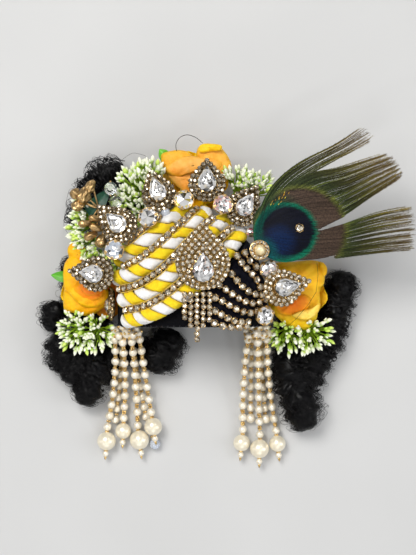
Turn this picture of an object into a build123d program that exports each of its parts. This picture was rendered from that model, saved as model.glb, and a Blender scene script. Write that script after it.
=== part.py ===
from build123d import *
from collections import namedtuple
from math import atan2, cos, degrees, radians, sin, sqrt, tan
import os

os.makedirs("parts", exist_ok=True)

# A small festive crown for a deity figure, lying on its back, front face up.
# Millimetres. +X to the crown's left as worn (right in a front view), +Y to
# the crown's top, +Z out of its front. The floor is z = 0.

# ---------------------------------------------------------------- driving sizes
CAP_X, CAP_Z = -13.5, 19.0          # axis of the cap's oval sections
CAP_HALF_W, CAP_HALF_H = 30.0, 20.0  # half width and half height at the rim
CAP_SIDE_R = 15.0                   # radius of the oval's side arcs
CAP_RIM_Y, CAP_TOP_Y = -10.0, 31.0  # open brow rim and closed crown end
FELT = 2.0                          # felt wall
GAP = 0.35                          # clear space between neighbours

ROPE_R = 3.2                        # twisted cloth rope
ROPE_LIFT = 3.7                     # rope centre above the felt
CHAIN_R = 1.10                      # cup chain in a rope groove
CHAIN_LIFT = 6.9
PAD_LIFT = 5.6                      # top of the velvet pad above the felt
SWAG_R = 1.35                       # cup chain on the velvet pad
SWAG_LIFT = PAD_LIFT + 0.25 + SWAG_R

PLATE_T = 1.3                       # paved plate of a brooch
TIER_T = 0.5                        # step of the inner rows
COLLAR_T = 2.7                      # top of the collar round a stone
COLLAR_W = 0.8
STONE_FLOOR = 0.8
STONE_GAP = 0.12
ROW = 2.0                           # width of one row of paving stones

BLOOM_FROM_Z = 13.1                 # flowers and sprigs stand on the hair

PEARL_R = 1.75                      # small strand pearl
PEARL_PITCH = 4.85
THREAD_R = 0.4
BORE_R = 0.65                       # bore of a big pearl
TIP_R = 1.3                         # bead under a big pearl

# ---------------------------------------------------------------- tables
Section = namedtuple("Section", "y scale")
CAP_SECTIONS = [
    Section(-10.0, 1.00),
    Section(4.0, 1.00),
    Section(14.0, 0.95),
    Section(22.0, 0.84),
    Section(28.0, 0.66),
    Section(31.0, 0.45),
]

# A route over the front is a Bezier curve in plan; its height follows the cap.
Route = namedtuple("Route", "name start bend_1 bend_2 end spans")
ROPES = [
    Route("rope_1", (-43.2, 16.1), (-32.0, 22.0), (-22.8, 31.2), (-13.6, 39.6), 7),
    Route("rope_2", (-43.9, 9.4), (-28.3, 11.0), (-19.1, 26.6), (-5.9, 37.2), 9),
    Route("rope_3", (-42.0, 0.6), (-19.2, 2.2), (-16.7, 23.3), (2.6, 34.1), 9),
    Route("rope_4", (-40.6, -7.3), (-20.2, -5.6), (-4.9, 12.5), (7.3, 28.7), 10),
]
ROPE_CHAINS = [
    Route("groove_1", (-39.1, 23.7), (-33.5, 28.1), (-29.8, 31.4), (-26.4, 33.9), 4),
    Route("groove_2", (-40.1, 14.2), (-28.6, 18.6), (-20.5, 29.1), (-11.2, 37.2), 8),
    Route("groove_3", (-42.1, 5.1), (-25.2, 6.9), (-17.2, 23.9), (-4.9, 33.4), 9),
    Route("groove_4", (-39.4, -3.2), (-19.8, -0.9), (-10.2, 17.8), (2.6, 29.4), 9),
]
SWAGS = [
    Route("swag_1", (7.9, 19.4), (9.0, 17.2), (10.6, 15.2), (12.3, 13.9), 3),
    Route("swag_2", (4.7, 18.2), (6.4, 13.9), (13.2, 10.1), (13.9, 5.9), 5),
    Route("swag_3", (0.4, 13.8), (4.2, 9.2), (7.8, 2.5), (14.7, 2.8), 6),
    Route("swag_4", (-2.4, 6.8), (2.8, 3.8), (9.6, -3.9), (15.9, 1.2), 6),
    Route("swag_5", (-4.0, 1.8), (0.3, 0.4), (7.5, -6.4), (12.7, -3.5), 6),
    Route("swag_6", (-4.0, -3.3), (-0.4, -5.3), (3.2, -8.4), (9.1, -7.8), 5),
    Route("swag_7", (-4.2, -8.1), (-1.0, -9.6), (2.0, -10.3), (8.6, -9.4), 5),
]

# Velvet pad outline on the right: corners and the points its arcs pass through.
PAD_CORNER_TOP = (10.4, 22.6)
PAD_SIDE_MID = (16.8, 15.0)
PAD_CORNER_SIDE = (17.2, -3.0)
PAD_BROW_MID = (4.0, -12.5)
PAD_CORNER_BROW = (-13.5, -6.6)
PAD_ROPE_FROM, PAD_ROPE_SIDE = 0.47, 4.1  # follows rope 4 from here, this far off
PAD_FROM_Z = 27.0

# A paved teardrop: the centre of its round end, the way its tip points in plan,
# how far it leans and towards where, its width and length, its stone's width,
# length and shift towards the tip.
Brooch = namedtuple(
    "Brooch", "name x y z tip lean lean_to width length stone_w stone_l shift"
)
BROOCHES = [
    Brooch("centre", -8.8, 15.5, 47.4, 90, 5, 0, 21.7, 26.9, 8.5, 11.6, -3.3),
    Brooch("left", -50.8, 11.1, 34.8, 174, 12, 180, 14.3, 19.1, 7.4, 10.2, 0.6),
    Brooch("upper_left", -41.6, 30.2, 36.5, 138, 14, 140, 14.5, 19.6, 7.2, 10.0, 0.4),
    Brooch("top_left", -26.2, 42.4, 33.2, 110, 14, 100, 13.9, 18.4, 7.0, 10.4, 0.6),
    Brooch("top", -7.1, 46.6, 32.4, 90, 18, 90, 15.0, 18.6, 7.6, 11.0, 0.0),
    Brooch("top_right", 7.0, 36.8, 36.1, 57, 13, 30, 14.3, 18.6, 7.2, 10.4, 0.4),
    Brooch("right", 22.3, 5.5, 36.4, 14, 12, 5, 15.0, 19.9, 7.2, 10.8, 0.6),
    Brooch("temple", -45.1, -1.0, 21.6, 184, 78, 180, 13.2, 15.5, 6.0, 7.4, 0.0),
]

# Flat-backed faceted crystals: girdle centre, radius, lean.
Crystal = namedtuple("Crystal", "name x y z r lean lean_to")
CRYSTALS = [
    Crystal("crystal_a", -30.4, 33.4, 40.6, 3.75, 8, 120),
    Crystal("crystal_b", -43.7, 20.6, 40.6, 3.75, 8, 180),
    Crystal("crystal_c", -16.2, 40.4, 39.8, 3.75, 10, 90),
    Crystal("crystal_d", -0.8, 38.6, 41.1, 3.75, 10, 60),
    Crystal("crystal_e", 17.6, 12.8, 35.3, 3.70, 15, 10),
    Crystal("crystal_temple", 16.0, -5.4, 38.6, 3.70, 30, 340),
    Crystal("crystal_drop", 10.3, 27.6, 35.8, 1.80, 10, 30),
]

Bead = namedtuple("Bead", "name x y z r")
BEADS = [
    Bead("bead_faceted", -45.7, 45.3, 30.4, 2.80),
    Bead("bead_glass", -43.6, 39.9, 31.5, 2.60),
]

# Soft outer forms are joined round lobes: centre, radius across, half length
# along the axis that points to (turn, rise) in degrees; 90 rise is upright.
Lobe = namedtuple("Lobe", "x y z r half turn rise")
FLOWERS = {
    "rose_top": [
        Lobe(-12.0, 51.6, 19.5, 9.6, 8.3, 15, 84),
        Lobe(-19.0, 53.0, 20.0, 7.4, 6.2, 150, 80),
        Lobe(-4.2, 55.5, 20.6, 7.2, 7.0, 40, 82),
    ],
    "rose_left": [
        Lobe(-58.4, 7.2, 22.6, 8.0, 8.0, 160, 82),
        Lobe(-59.6, 14.2, 21.8, 6.3, 6.1, 130, 80),
        Lobe(-60.6, 0.4, 21.2, 6.8, 6.2, 210, 81),
    ],
    "rose_right": [
        Lobe(30.4, 5.2, 22.6, 10.0, 8.2, 20, 84),
        Lobe(34.9, 10.3, 22.2, 6.8, 6.6, 50, 80),
        Lobe(32.2, -1.6, 24.6, 7.8, 4.2, 300, 82),
    ],
}
SPRIGS = {
    "sprig_top_left": [
        Lobe(-36.0, 50.6, 19.5, 6.2, 5.8, 110, 82),
        Lobe(-33.4, 45.4, 20.6, 5.6, 6.2, 20, 80),
        Lobe(-39.6, 45.0, 19.4, 5.0, 5.4, 200, 81),
    ],
    "sprig_left": [
        Lobe(-59.4, 31.6, 19.0, 5.4, 5.9, 190, 82),
        Lobe(-56.4, 26.6, 19.2, 4.8, 5.4, 240, 80),
        Lobe(-55.8, 36.2, 18.2, 5.2, 5.4, 100, 81),
    ],
    "sprig_low_left": [
        Lobe(-62.6, -12.4, 18.4, 6.2, 5.3, 200, 82),
        Lobe(-55.8, -15.0, 19.0, 6.0, 5.6, 250, 80),
        Lobe(-50.4, -14.6, 17.4, 4.6, 4.4, 300, 81),
    ],
    "sprig_top_right": [
        Lobe(6.3, 48.0, 20.8, 4.7, 5.6, 60, 82),
        Lobe(11.6, 47.2, 20.4, 5.8, 5.6, 30, 80),
    ],
    "sprig_low_right": [
        Lobe(24.8, -14.4, 16.6, 6.2, 3.9, 240, 82),
        Lobe(31.8, -16.4, 16.4, 6.4, 3.7, 280, 80),
        Lobe(37.4, -12.4, 16.6, 4.6, 3.8, 330, 81),
    ],
}
HAIR = {
    "hair_left": [
        Lobe(-70.8, -6.4, 6.0, 5.1, 6.6, 80, 0),
        Lobe(-66.0, -21.4, 6.5, 7.8, 9.4, 100, 0),
        Lobe(-55.6, -14.0, 3.4, 8.0, 12.6, 83, 0),
        Lobe(-54.8, -31.8, 7.2, 6.8, 12.2, 74, 0),
        Lobe(-42.0, -22.6, 0.6, 5.4, 13.4, 8, 0),
        Lobe(-25.3, -20.7, 5.4, 8.0, 10.2, 62, 0),
        Lobe(-60.2, 7.0, 3.2, 7.6, 13.0, 92, 0),
    ],
    "hair_right": [
        Lobe(47.0, 1.4, 6.6, 7.0, 11.6, 75, 0),
        Lobe(39.6, -20.0, 4.6, 7.8, 10.8, 61, 0),
        Lobe(30.1, -37.6, 6.8, 8.2, 16.8, 106, 0),
        Lobe(31.0, -6.0, 3.2, 8.6, 15.6, 70, 0),
        Lobe(25.6, -25.0, 4.2, 5.2, 9.6, 90, 0),
    ],
    "hair_top": [
        Lobe(-49.5, 52.6, 5.4, 6.4, 8.6, 20, 0),
        Lobe(-56.5, 40.5, 4.6, 6.6, 11.4, 71, 0),
        Lobe(-43.0, 43.4, 4.2, 7.0, 12.0, 23, 0),
        Lobe(-29.0, 45.0, 3.2, 6.4, 12.0, 3, 0),
    ],
}

# Gold buds: centre, radius, half length, direction in plan, where its wire goes.
GOLD_ROOT = (-50.6, 37.6, 28.2)
GOLD_BUDS = [
    Lobe(-56.4, 42.6, 29.3, 2.3, 3.8, 250, 10),
    Lobe(-58.6, 38.8, 28.9, 2.0, 3.0, 200, 5),
    Lobe(-53.9, 46.2, 29.3, 1.7, 3.0, 240, 10),
    Lobe(-59.6, 43.0, 28.7, 1.8, 2.6, 150, 5),
    Lobe(-52.0, 33.4, 29.4, 1.3, 2.6, 170, 5),
    Lobe(-56.0, 31.4, 29.4, 1.4, 2.8, 185, 5),
    Lobe(-51.6, 29.6, 29.2, 1.5, 2.9, 160, 5),
    Lobe(-53.6, 26.4, 29.2, 1.6, 3.0, 200, 5),
    Lobe(-49.6, 24.4, 28.4, 2.2, 2.8, 250, 10),
]

# Feather: barb groups are Bezier strips from root to tip, with their widths.
Barbs = namedtuple("Barbs", "name root bend tip root_width tip_width")
FEATHER = [
    Barbs("upper", (20.5, 37.0), (35.8, 56.0), (56.2, 67.17), 9.0, 4.6),
    Barbs("middle", (30.0, 33.0), (48.0, 48.2), (67.5, 54.7), 17.0, 10.5),
    Barbs("lower", (31.0, 24.0), (54.0, 22.5), (72.38, 30.2), 18.0, 19.5),
]
FEATHER_EYE = (24.2, 27.4, 13.2, 11.6)       # centre x, y, half width, half height
FEATHER_BROWN = (35.0, 31.0, 12.0, 11.0)
FEATHER_UNDER = ((11.0, 37.3), (42.0, 39.2), (80.0, 33.6))  # x, z of its underside
FEATHER_T = 1.2

# Pearl strands: plan curve from knot to end pearl, height at the knot, the end
# pearl's place and radius; own = True when the end pearl is a piece of its own.
Strand = namedtuple("Strand", "name start bend end top_z px py pz pr own")
TASSELS = {
    "tassel_left": [
        Strand("l1", (-44.4, -15.6), (-44.6, -33.7), (-48.5, -52.4), 20.0, -48.9, -58.3, 3.90, 3.90, True),
        Strand("l2", (-42.0, -15.0), (-43.0, -33.6), (-45.3, -49.6), 13.0, 0, 0, 0, 0, False),
        Strand("l3", (-41.3, -16.6), (-40.4, -32.0), (-41.8, -48.8), 22.2, -42.0, -54.15, 3.30, 3.30, True),
        Strand("l4", (-37.6, -16.4), (-36.6, -31.8), (-35.9, -51.8), 21.6, -35.2, -57.8, 4.05, 4.05, True),
        Strand("l5", (-34.5, -15.4), (-32.9, -29.9), (-30.3, -46.2), 19.6, -29.4, -52.1, 5.90, 3.70, True),
        Strand("l6", (-38.2, -15.2), (-35.4, -34.4), (-32.6, -48.4), 13.0, -28.8, -59.6, 2.30, 2.30, False),
    ],
    "tassel_right": [
        Strand("r1", (9.6, -15.4), (7.3, -33.2), (7.8, -53.5), 20.4, 7.3, -59.1, 3.50, 3.50, True),
        Strand("r2", (13.4, -16.6), (14.2, -34.0), (14.8, -55.45), 21.8, 14.7, -61.4, 4.60, 3.95, True),
        Strand("r3", (17.2, -15.4), (18.0, -34.3), (21.6, -53.9), 20.0, 22.2, -59.4, 3.45, 3.45, True),
        Strand("r4", (11.4, -15.4), (11.0, -31.6), (11.1, -44.6), 13.0, 11.1, -49.0, 2.00, 2.00, False),
        Strand("r5", (15.4, -15.4), (15.6, -32.0), (17.0, -44.8), 13.0, 17.3, -49.3, 2.00, 2.00, False),
    ],
}
KNOTS = {"tassel_left": (-39.5, -12.9, 23.6, 2.2), "tassel_right": (13.2, -13.0, 23.6, 2.0)}

# Centre fringe: each stone chain's place across and where it ends.
Drop = namedtuple("Drop", "x end_y")
FRINGE = [
    Drop(-15.9, -6.9),
    Drop(-13.45, -10.0),
    Drop(-11.0, -15.5),
    Drop(-8.55, -10.0),
    Drop(-6.1, -7.7),
]
FRINGE_TOP_Y, FRINGE_Z, FRINGE_T, FRINGE_W = 3.6, 45.9, 1.3, 2.15

ROSETTE = (13.5, 20.5, 40.5, 4.0, 8, 15)     # x, y, z, radius, lean, lean_to
ROSETTE_T, ROSETTE_PEARL_R = 1.7, 2.1


# ---------------------------------------------------------------- helpers
def bezier(row, t):
    u = 1 - t
    weights = (u**3, 3 * u * u * t, 3 * u * t * t, t**3)
    points = (row.start, row.bend_1, row.bend_2, row.end)
    return tuple(sum(w * p[k] for w, p in zip(weights, points)) for k in (0, 1))


def bow(a, b, c, t):
    u = 1 - t
    return tuple(u * u * a[k] + 2 * u * t * b[k] + t * t * c[k] for k in (0, 1))


def section_scale(y, out):
    """Scale of the cap's oval at y, on a skin this far outside the felt."""
    span = CAP_TOP_Y - CAP_RIM_Y
    y = CAP_RIM_Y + (y - CAP_RIM_Y) * span / (span + out)
    if y <= CAP_SECTIONS[0].y:
        return CAP_SECTIONS[0].scale
    for low, high in zip(CAP_SECTIONS, CAP_SECTIONS[1:]):
        if y <= high.y:
            part = (y - low.y) / (high.y - low.y)
            return low.scale + part * (high.scale - low.scale)
    return CAP_SECTIONS[-1].scale


def oval(scale, out):
    """Half width, half height, side radius and crown radius of one oval."""
    a, b, r = (v * scale + out for v in (CAP_HALF_W, CAP_HALF_H, CAP_SIDE_R))
    return a, b, r, ((a - r) ** 2 + b * b - r * r) / (2 * (b - r))


def front_z(x, y, out):
    """Height of the front of the skin this far outside the felt."""
    a, b, r, crown = oval(section_scale(y, out), out)
    across = abs(x - CAP_X)
    if across <= (a - r) + r * (a - r) / (crown - r):
        return CAP_Z - (crown - b) + sqrt(crown * crown - across * across)
    return CAP_Z + sqrt(max(r * r - (across - a + r) ** 2, 0.01))


def dome(out, rim_y=CAP_RIM_Y):
    """Closed solid of the cap's form, this far outside the felt."""
    span = CAP_TOP_Y - CAP_RIM_Y
    with BuildPart() as solid:
        for k, row in enumerate(CAP_SECTIONS):
            y = rim_y if k == 0 else CAP_RIM_Y + (row.y - CAP_RIM_Y) * (span + out) / span
            a, b, r, crown = oval(row.scale, out)
            side = degrees(atan2(crown - b, a - r))
            with BuildSketch(Plane((CAP_X, y, CAP_Z), x_dir=(1, 0, 0), z_dir=(0, -1, 0))):
                with BuildLine():
                    CenterArc((a - r, 0), r, -side, 2 * side)
                    CenterArc((0, b - crown), crown, side, 180 - 2 * side)
                    CenterArc((r - a, 0), r, 180 - side, 2 * side)
                    CenterArc((0, crown - b), crown, 180 + side, 180 - 2 * side)
                make_face()
        loft()
    return solid.part


def tube(points, radius):
    """Round tube along straight runs joined by tangent arcs."""
    points = [Vector(*p) for p in points]
    bends = []
    for a, b, c in zip(points, points[1:], points[2:]):
        turn = radians((b - a).get_angle(c - b))
        short = min((b - a).length, (c - b).length)
        bends.append(0.45 * short / tan(turn / 2))
    with BuildPart() as solid:
        with BuildLine() as path:
            FilletPolyline(*points, radius=bends)
        with BuildSketch(Plane(path.line @ 0, z_dir=path.line % 0)):
            Circle(radius)
        sweep()
    return solid.part


def over_cap(row, out):
    steps = [bezier(row, k / row.spans) for k in range(row.spans + 1)]
    return [(x, y, front_z(x, y, out)) for x, y in steps]


def leaning(x, y, z, lean, lean_to, tip=0.0):
    """Plane at a point, its normal leaning from upright, its x towards tip."""
    t, a, p = radians(lean), radians(lean_to), radians(tip)
    normal = Vector(sin(t) * cos(a), sin(t) * sin(a), cos(t))
    along = Vector(cos(p), sin(p), 0)
    along = along - normal * along.dot(normal)
    return Plane((x, y, z), x_dir=along.normalized(), z_dir=normal)


def teardrop(width, length, point=0.7):
    """Teardrop face about its round end's centre, tip towards x."""
    Circle(width / 2)
    with Locations((length - width / 2 - point, 0)):
        Circle(point)
    make_hull()


def lobes(rows):
    """Joined round lobes: capsules, or round-edged discs where they are wide."""
    with BuildPart() as solid:
        for row in rows:
            t, e = radians(row.turn), radians(row.rise)
            axis = Vector(cos(t) * cos(e), sin(t) * cos(e), sin(e))
            side = Vector(-sin(t), cos(t), 0)
            face = Plane((row.x, row.y, row.z), x_dir=side, z_dir=side.cross(axis))
            edge = min(row.r, row.half)
            flat_x, flat_y = row.r - edge, row.half - edge
            with BuildSketch(face):
                with BuildLine():
                    Line((0, row.half), (0, -row.half))
                    if flat_x > 0.01:
                        Line((0, -row.half), (flat_x, -row.half))
                    CenterArc((flat_x, -flat_y), edge, -90, 90)
                    if flat_y > 0.01:
                        Line((row.r, -flat_y), (row.r, flat_y))
                    CenterArc((flat_x, flat_y), edge, 0, 90)
                    if flat_x > 0.01:
                        Line((flat_x, row.half), (0, row.half))
                make_face()
            revolve(axis=Axis((row.x, row.y, row.z), tuple(axis)))
    return solid.part


def write(part, name):
    part.label = name
    export_step(part, f"parts/{name}.step")


# ---------------------------------------------------------------- felt cap
felt_outer = dome(0.0)
felt_inner = dome(-FELT, CAP_RIM_Y - 2.0)
with BuildPart() as hollow:
    add(felt_inner)
    split(bisect_by=Plane.XY.offset(FELT), keep=Keep.TOP)
with BuildPart() as cap_shell:
    add(felt_outer)
    split(bisect_by=Plane.XY, keep=Keep.TOP)
    add(hollow.part, mode=Mode.SUBTRACT)
write(cap_shell.part, "cap_shell")

around_felt = dome(GAP, CAP_RIM_Y - GAP)

# ---------------------------------------------------------------- twisted ropes
for row in ROPES:
    write(tube(over_cap(row, ROPE_LIFT), ROPE_R), row.name)

# ---------------------------------------------------------------- velvet pad
pad_skin = dome(PAD_LIFT)
with BuildPart() as velvet_pad:
    with BuildSketch(Plane.XY.offset(PAD_FROM_Z)):
        with BuildLine():
            steps = [PAD_ROPE_FROM + (1 - PAD_ROPE_FROM) * k / 6 for k in range(7)]
            beside = []
            for t in steps[:-1]:
                x, y = bezier(ROPES[3], t)
                nx, ny = bezier(ROPES[3], t + 0.01)
                along = Vector(nx - x, ny - y).normalized()
                beside.append((x + along.Y * PAD_ROPE_SIDE, y - along.X * PAD_ROPE_SIDE))
            Polyline(*beside)
            Line(beside[-1], PAD_CORNER_TOP)
            ThreePointArc(PAD_CORNER_TOP, PAD_SIDE_MID, PAD_CORNER_SIDE)
            ThreePointArc(PAD_CORNER_SIDE, PAD_BROW_MID, PAD_CORNER_BROW)
            Line(PAD_CORNER_BROW, beside[0])
        make_face()
    extrude(amount=60)
    add(pad_skin, mode=Mode.INTERSECT)
    add(around_felt, mode=Mode.SUBTRACT)
write(velvet_pad.part, "velvet_pad")

# ---------------------------------------------------------------- cup chains
with BuildPart() as rope_chains:
    for row in ROPE_CHAINS:
        add(tube(over_cap(row, CHAIN_LIFT), CHAIN_R))
write(rope_chains.part, "rope_chains")

with BuildPart() as swag_chains:
    for row in SWAGS:
        add(tube(over_cap(row, SWAG_LIFT), SWAG_R))
write(swag_chains.part, "swag_chains")

# ---------------------------------------------------------------- brooches and stones
for row in BROOCHES:
    seat = leaning(row.x, row.y, row.z, row.lean, row.lean_to, row.tip)
    with BuildPart() as brooch:
        with BuildSketch(seat):
            teardrop(row.width, row.length)
        extrude(amount=PLATE_T)
        with BuildSketch(seat.offset(PLATE_T)):
            teardrop(row.width - 2 * ROW, row.length - 2.6 * ROW)
        extrude(amount=TIER_T)
        with BuildSketch(seat):
            with BuildSketch(mode=Mode.PRIVATE) as rim:
                teardrop(row.stone_w + 2 * COLLAR_W, row.stone_l + 2.4 * COLLAR_W)
            with Locations((row.shift, 0)):
                add(rim.sketch)
        extrude(amount=COLLAR_T)
        with BuildSketch(seat.offset(STONE_FLOOR)):
            with BuildSketch(mode=Mode.PRIVATE) as pocket:
                teardrop(row.stone_w + 2 * STONE_GAP, row.stone_l + 2 * STONE_GAP)
            with Locations((row.shift, 0)):
                add(pocket.sketch)
        extrude(amount=COLLAR_T, mode=Mode.SUBTRACT)
    write(brooch.part, "brooch_" + row.name)

    heights = [(STONE_FLOOR + 0.1, 1.0), (COLLAR_T - 0.1, 1.0), (COLLAR_T + 1.5, 0.62)]
    with BuildPart() as stone:
        for (low, wide), (high, narrow) in zip(heights, heights[1:]):
            for level, part in ((low, wide), (high, narrow)):
                with BuildSketch(seat.offset(level)):
                    with BuildSketch(mode=Mode.PRIVATE) as cut:
                        teardrop(row.stone_w * part, row.stone_l * part, 0.7 * part)
                    with Locations((row.shift + (1 - part) * 1.0, 0)):
                        add(cut.sketch)
            loft()
    write(stone.part, "stone_" + row.name)

# ---------------------------------------------------------------- crystals and beads
for row in CRYSTALS:
    seat = leaning(row.x, row.y, row.z, row.lean, row.lean_to)
    with BuildPart() as crystal:
        with Locations(seat.offset(-0.75 * row.r).location):
            Cone(0.25 * row.r, row.r, 0.75 * row.r, align=(Align.CENTER, Align.CENTER, Align.MIN))
        with Locations(seat.location):
            Cylinder(row.r, 0.3, align=(Align.CENTER, Align.CENTER, Align.MIN))
        with Locations(seat.offset(0.3).location):
            Cone(row.r, 0.62 * row.r, 0.32 * row.r, align=(Align.CENTER, Align.CENTER, Align.MIN))
    write(crystal.part, row.name)

for row in BEADS:
    with BuildPart() as bead:
        with Locations((row.x, row.y, row.z)):
            Sphere(row.r)
    write(bead.part, row.name)

# ---------------------------------------------------------------- rosette
x, y, z, ring_r, lean, lean_to = ROSETTE
seat = leaning(x, y, z, lean, lean_to)
centre = seat.offset(ROSETTE_T).origin
with BuildPart() as rosette:
    with BuildSketch(seat):
        Circle(ring_r)
    extrude(amount=ROSETTE_T)
    with BuildSketch(seat.offset(-0.6)):
        Circle(ring_r * 0.8)
    extrude(amount=0.6)
    with Locations(tuple(centre)):
        Sphere(ROSETTE_PEARL_R + 0.15, mode=Mode.SUBTRACT)
write(rosette.part, "rosette")
with BuildPart() as rosette_pearl:
    with Locations(tuple(centre)):
        Sphere(ROSETTE_PEARL_R)
write(rosette_pearl.part, "rosette_pearl")

# ---------------------------------------------------------------- centre fringe
with BuildPart() as centre_fringe:
    for row in FRINGE:
        with BuildSketch(Plane.XY.offset(FRINGE_Z)):
            with Locations((row.x, (FRINGE_TOP_Y + row.end_y) / 2)):
                Rectangle(FRINGE_W, FRINGE_TOP_Y - row.end_y)
        extrude(amount=FRINGE_T)
    with BuildSketch(Plane.XY.offset(FRINGE_Z)):
        with Locations((FRINGE[2].x, FRINGE_TOP_Y - 0.5)):
            Rectangle(FRINGE[-1].x - FRINGE[0].x + FRINGE_W, 1.0)
    extrude(amount=FRINGE_T)
write(centre_fringe.part, "centre_fringe")

# ---------------------------------------------------------------- flowers, sprigs, leaf
temple = BROOCHES[-1]
temple_seat = leaning(temple.x, temple.y, temple.z, temple.lean, temple.lean_to, temple.tip)
for name, rows in {**FLOWERS, **SPRIGS}.items():
    body = lobes(rows)
    with BuildPart() as bloom:
        add(body)
        split(bisect_by=Plane.XY.offset(BLOOM_FROM_Z), keep=Keep.TOP)
        if name == "rose_left":
            with Locations(temple_seat.offset(1.2).location):
                Box(18, 18, 6.8, mode=Mode.SUBTRACT)
    write(bloom.part, name)

with BuildPart() as gold_buds:
    add(lobes(GOLD_BUDS))
    for row in GOLD_BUDS:
        reach = Vector(row.x, row.y, row.z) - Vector(*GOLD_ROOT)
        with BuildSketch(Plane(GOLD_ROOT, z_dir=reach)):
            Circle(0.4)
        extrude(amount=reach.length)
write(gold_buds.part, "gold_buds")

with BuildPart() as leaf_dark:
    with BuildSketch(Plane.XY.offset(26.4)):
        with BuildLine():
            ThreePointArc((-55.0, 35.2), (-48.4, 36.2), (-46.6, 44.2))
            ThreePointArc((-46.6, 44.2), (-53.6, 43.2), (-55.0, 35.2))
        make_face()
    extrude(amount=0.9)
write(leaf_dark.part, "leaf_dark")

# ---------------------------------------------------------------- feather
with BuildPart() as feather:
    for row in FEATHER:
        with BuildSketch(Plane.XY):
            left, right = [], []
            for k in range(6):
                t = k / 5
                px, py = bow(row.root, row.bend, row.tip, t)
                qx, qy = bow(row.root, row.bend, row.tip, t + 0.01)
                along = Vector(qx - px, qy - py).normalized()
                half = (row.root_width + t * (row.tip_width - row.root_width)) / 2
                left.append((px - along.Y * half, py + along.X * half))
                right.append((px + along.Y * half, py - along.X * half))
            with BuildLine():
                Polyline(*left, *reversed(right), close=True)
            make_face()
        extrude(amount=60)
    for x, y, half_x, half_y in (FEATHER_EYE, FEATHER_BROWN):
        with BuildSketch(Plane.XY):
            with Locations((x, y)):
                Ellipse(half_x, half_y)
        extrude(amount=60)
    with BuildSketch(Plane.XZ) as band:
        with BuildLine():
            low = ThreePointArc(*FEATHER_UNDER)
            high = ThreePointArc(*[(px, pz + FEATHER_T) for px, pz in FEATHER_UNDER])
            Line(low @ 0, high @ 0)
            Line(low @ 1, high @ 1)
        make_face()
    extrude(amount=-90, mode=Mode.INTERSECT)
write(feather.part, "feather")

# ---------------------------------------------------------------- hair
for name, rows in HAIR.items():
    body = lobes(rows)
    with BuildPart() as hair:
        add(body)
        add(around_felt, mode=Mode.SUBTRACT)
        split(bisect_by=Plane.XY, keep=Keep.TOP)
    write(hair.part, name)

# ---------------------------------------------------------------- pearl tassels
def strand(row, knot, knot_r):
    """Pearls on their thread from the knot to the bead under the end pearl."""
    end_z = row.pz if row.own else PEARL_R
    length = (Vector(*row.end) - Vector(*row.start)).length
    count = max(2, round(length / PEARL_PITCH))
    balls = [(knot, knot_r)]
    for k in range(count + 1):
        t = k / count
        px, py = bow(row.start, row.bend, row.end, t)
        balls.append((Vector(px, py, end_z + (row.top_z - end_z) * (1 - t) ** 2), PEARL_R))
    if row.own:
        hub = Vector(row.px, row.py, row.pz)
        away = (hub - balls[-1][0]).normalized()
        balls.append((hub + away * (row.pr + TIP_R + 0.1), TIP_R))
    elif row.pr:
        balls.append((Vector(row.px, row.py, row.pz), row.pr))
    with BuildPart() as solid:
        with Locations(*[tuple(centre) for centre, _ in balls[1:-1]]):
            Sphere(PEARL_R, rotation=(0, 90, 0))
        with Locations(tuple(balls[-1][0])):
            Sphere(balls[-1][1], rotation=(0, 90, 0))
        for (a, ra), (b, rb) in zip(balls, balls[1:]):
            way = (b - a).normalized()
            near, far = a + way * ra * 0.7, b - way * rb * 0.7
            with BuildSketch(Plane(near, z_dir=way)):
                Circle(THREAD_R)
            extrude(amount=(far - near).length)
        if row.own:
            seat = Plane(balls[-1][0] + away * TIP_R * 0.8, z_dir=away)
            with Locations(seat.location):
                Cone(0.6, 0.25, 1.4, align=(Align.CENTER, Align.CENTER, Align.MIN))
    return solid.part


for name, rows in TASSELS.items():
    kx, ky, kz, kr = KNOTS[name]
    strands = [strand(row, Vector(kx, ky, kz), kr) for row in rows]
    with BuildPart() as tassel:
        with Locations((kx, ky, kz)):
            Sphere(kr, rotation=(90, 0, 0))
        for one in strands:
            add(one)
    write(tassel.part, name)

    for row in rows:
        if row.own:
            hub = Vector(row.px, row.py, row.pz)
            away = (hub - Vector(*row.end, row.pz)).normalized()
            with BuildPart() as pearl:
                with Locations(tuple(hub)):
                    Sphere(row.pr)
                with BuildSketch(Plane(hub - away * 2 * row.pr, z_dir=away)):
                    Circle(BORE_R)
                extrude(amount=4 * row.pr, mode=Mode.SUBTRACT)
            write(pearl.part, "pearl_" + row.name)
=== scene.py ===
import math

import bpy
import numpy as np
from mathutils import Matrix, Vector


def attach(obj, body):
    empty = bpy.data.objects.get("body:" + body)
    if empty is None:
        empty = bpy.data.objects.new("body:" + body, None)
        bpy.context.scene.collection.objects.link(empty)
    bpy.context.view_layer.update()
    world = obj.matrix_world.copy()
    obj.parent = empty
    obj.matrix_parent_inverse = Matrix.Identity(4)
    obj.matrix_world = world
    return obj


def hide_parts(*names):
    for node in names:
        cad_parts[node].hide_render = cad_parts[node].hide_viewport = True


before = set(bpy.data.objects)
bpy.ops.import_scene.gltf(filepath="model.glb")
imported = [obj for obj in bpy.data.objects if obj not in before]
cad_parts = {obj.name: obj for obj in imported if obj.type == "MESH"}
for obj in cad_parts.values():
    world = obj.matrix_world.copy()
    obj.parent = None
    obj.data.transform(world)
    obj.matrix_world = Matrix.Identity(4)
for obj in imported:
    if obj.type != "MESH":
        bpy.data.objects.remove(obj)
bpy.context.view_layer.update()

# All shapes below are worked out in millimetres in the frame's own axes and
# scaled to metres when each mesh is made.
MM = 0.001
PI = math.pi


def unit(v):
    v = np.asarray(v, float)
    return v / np.maximum(np.linalg.norm(v, axis=-1, keepdims=True), 1e-12)


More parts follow.
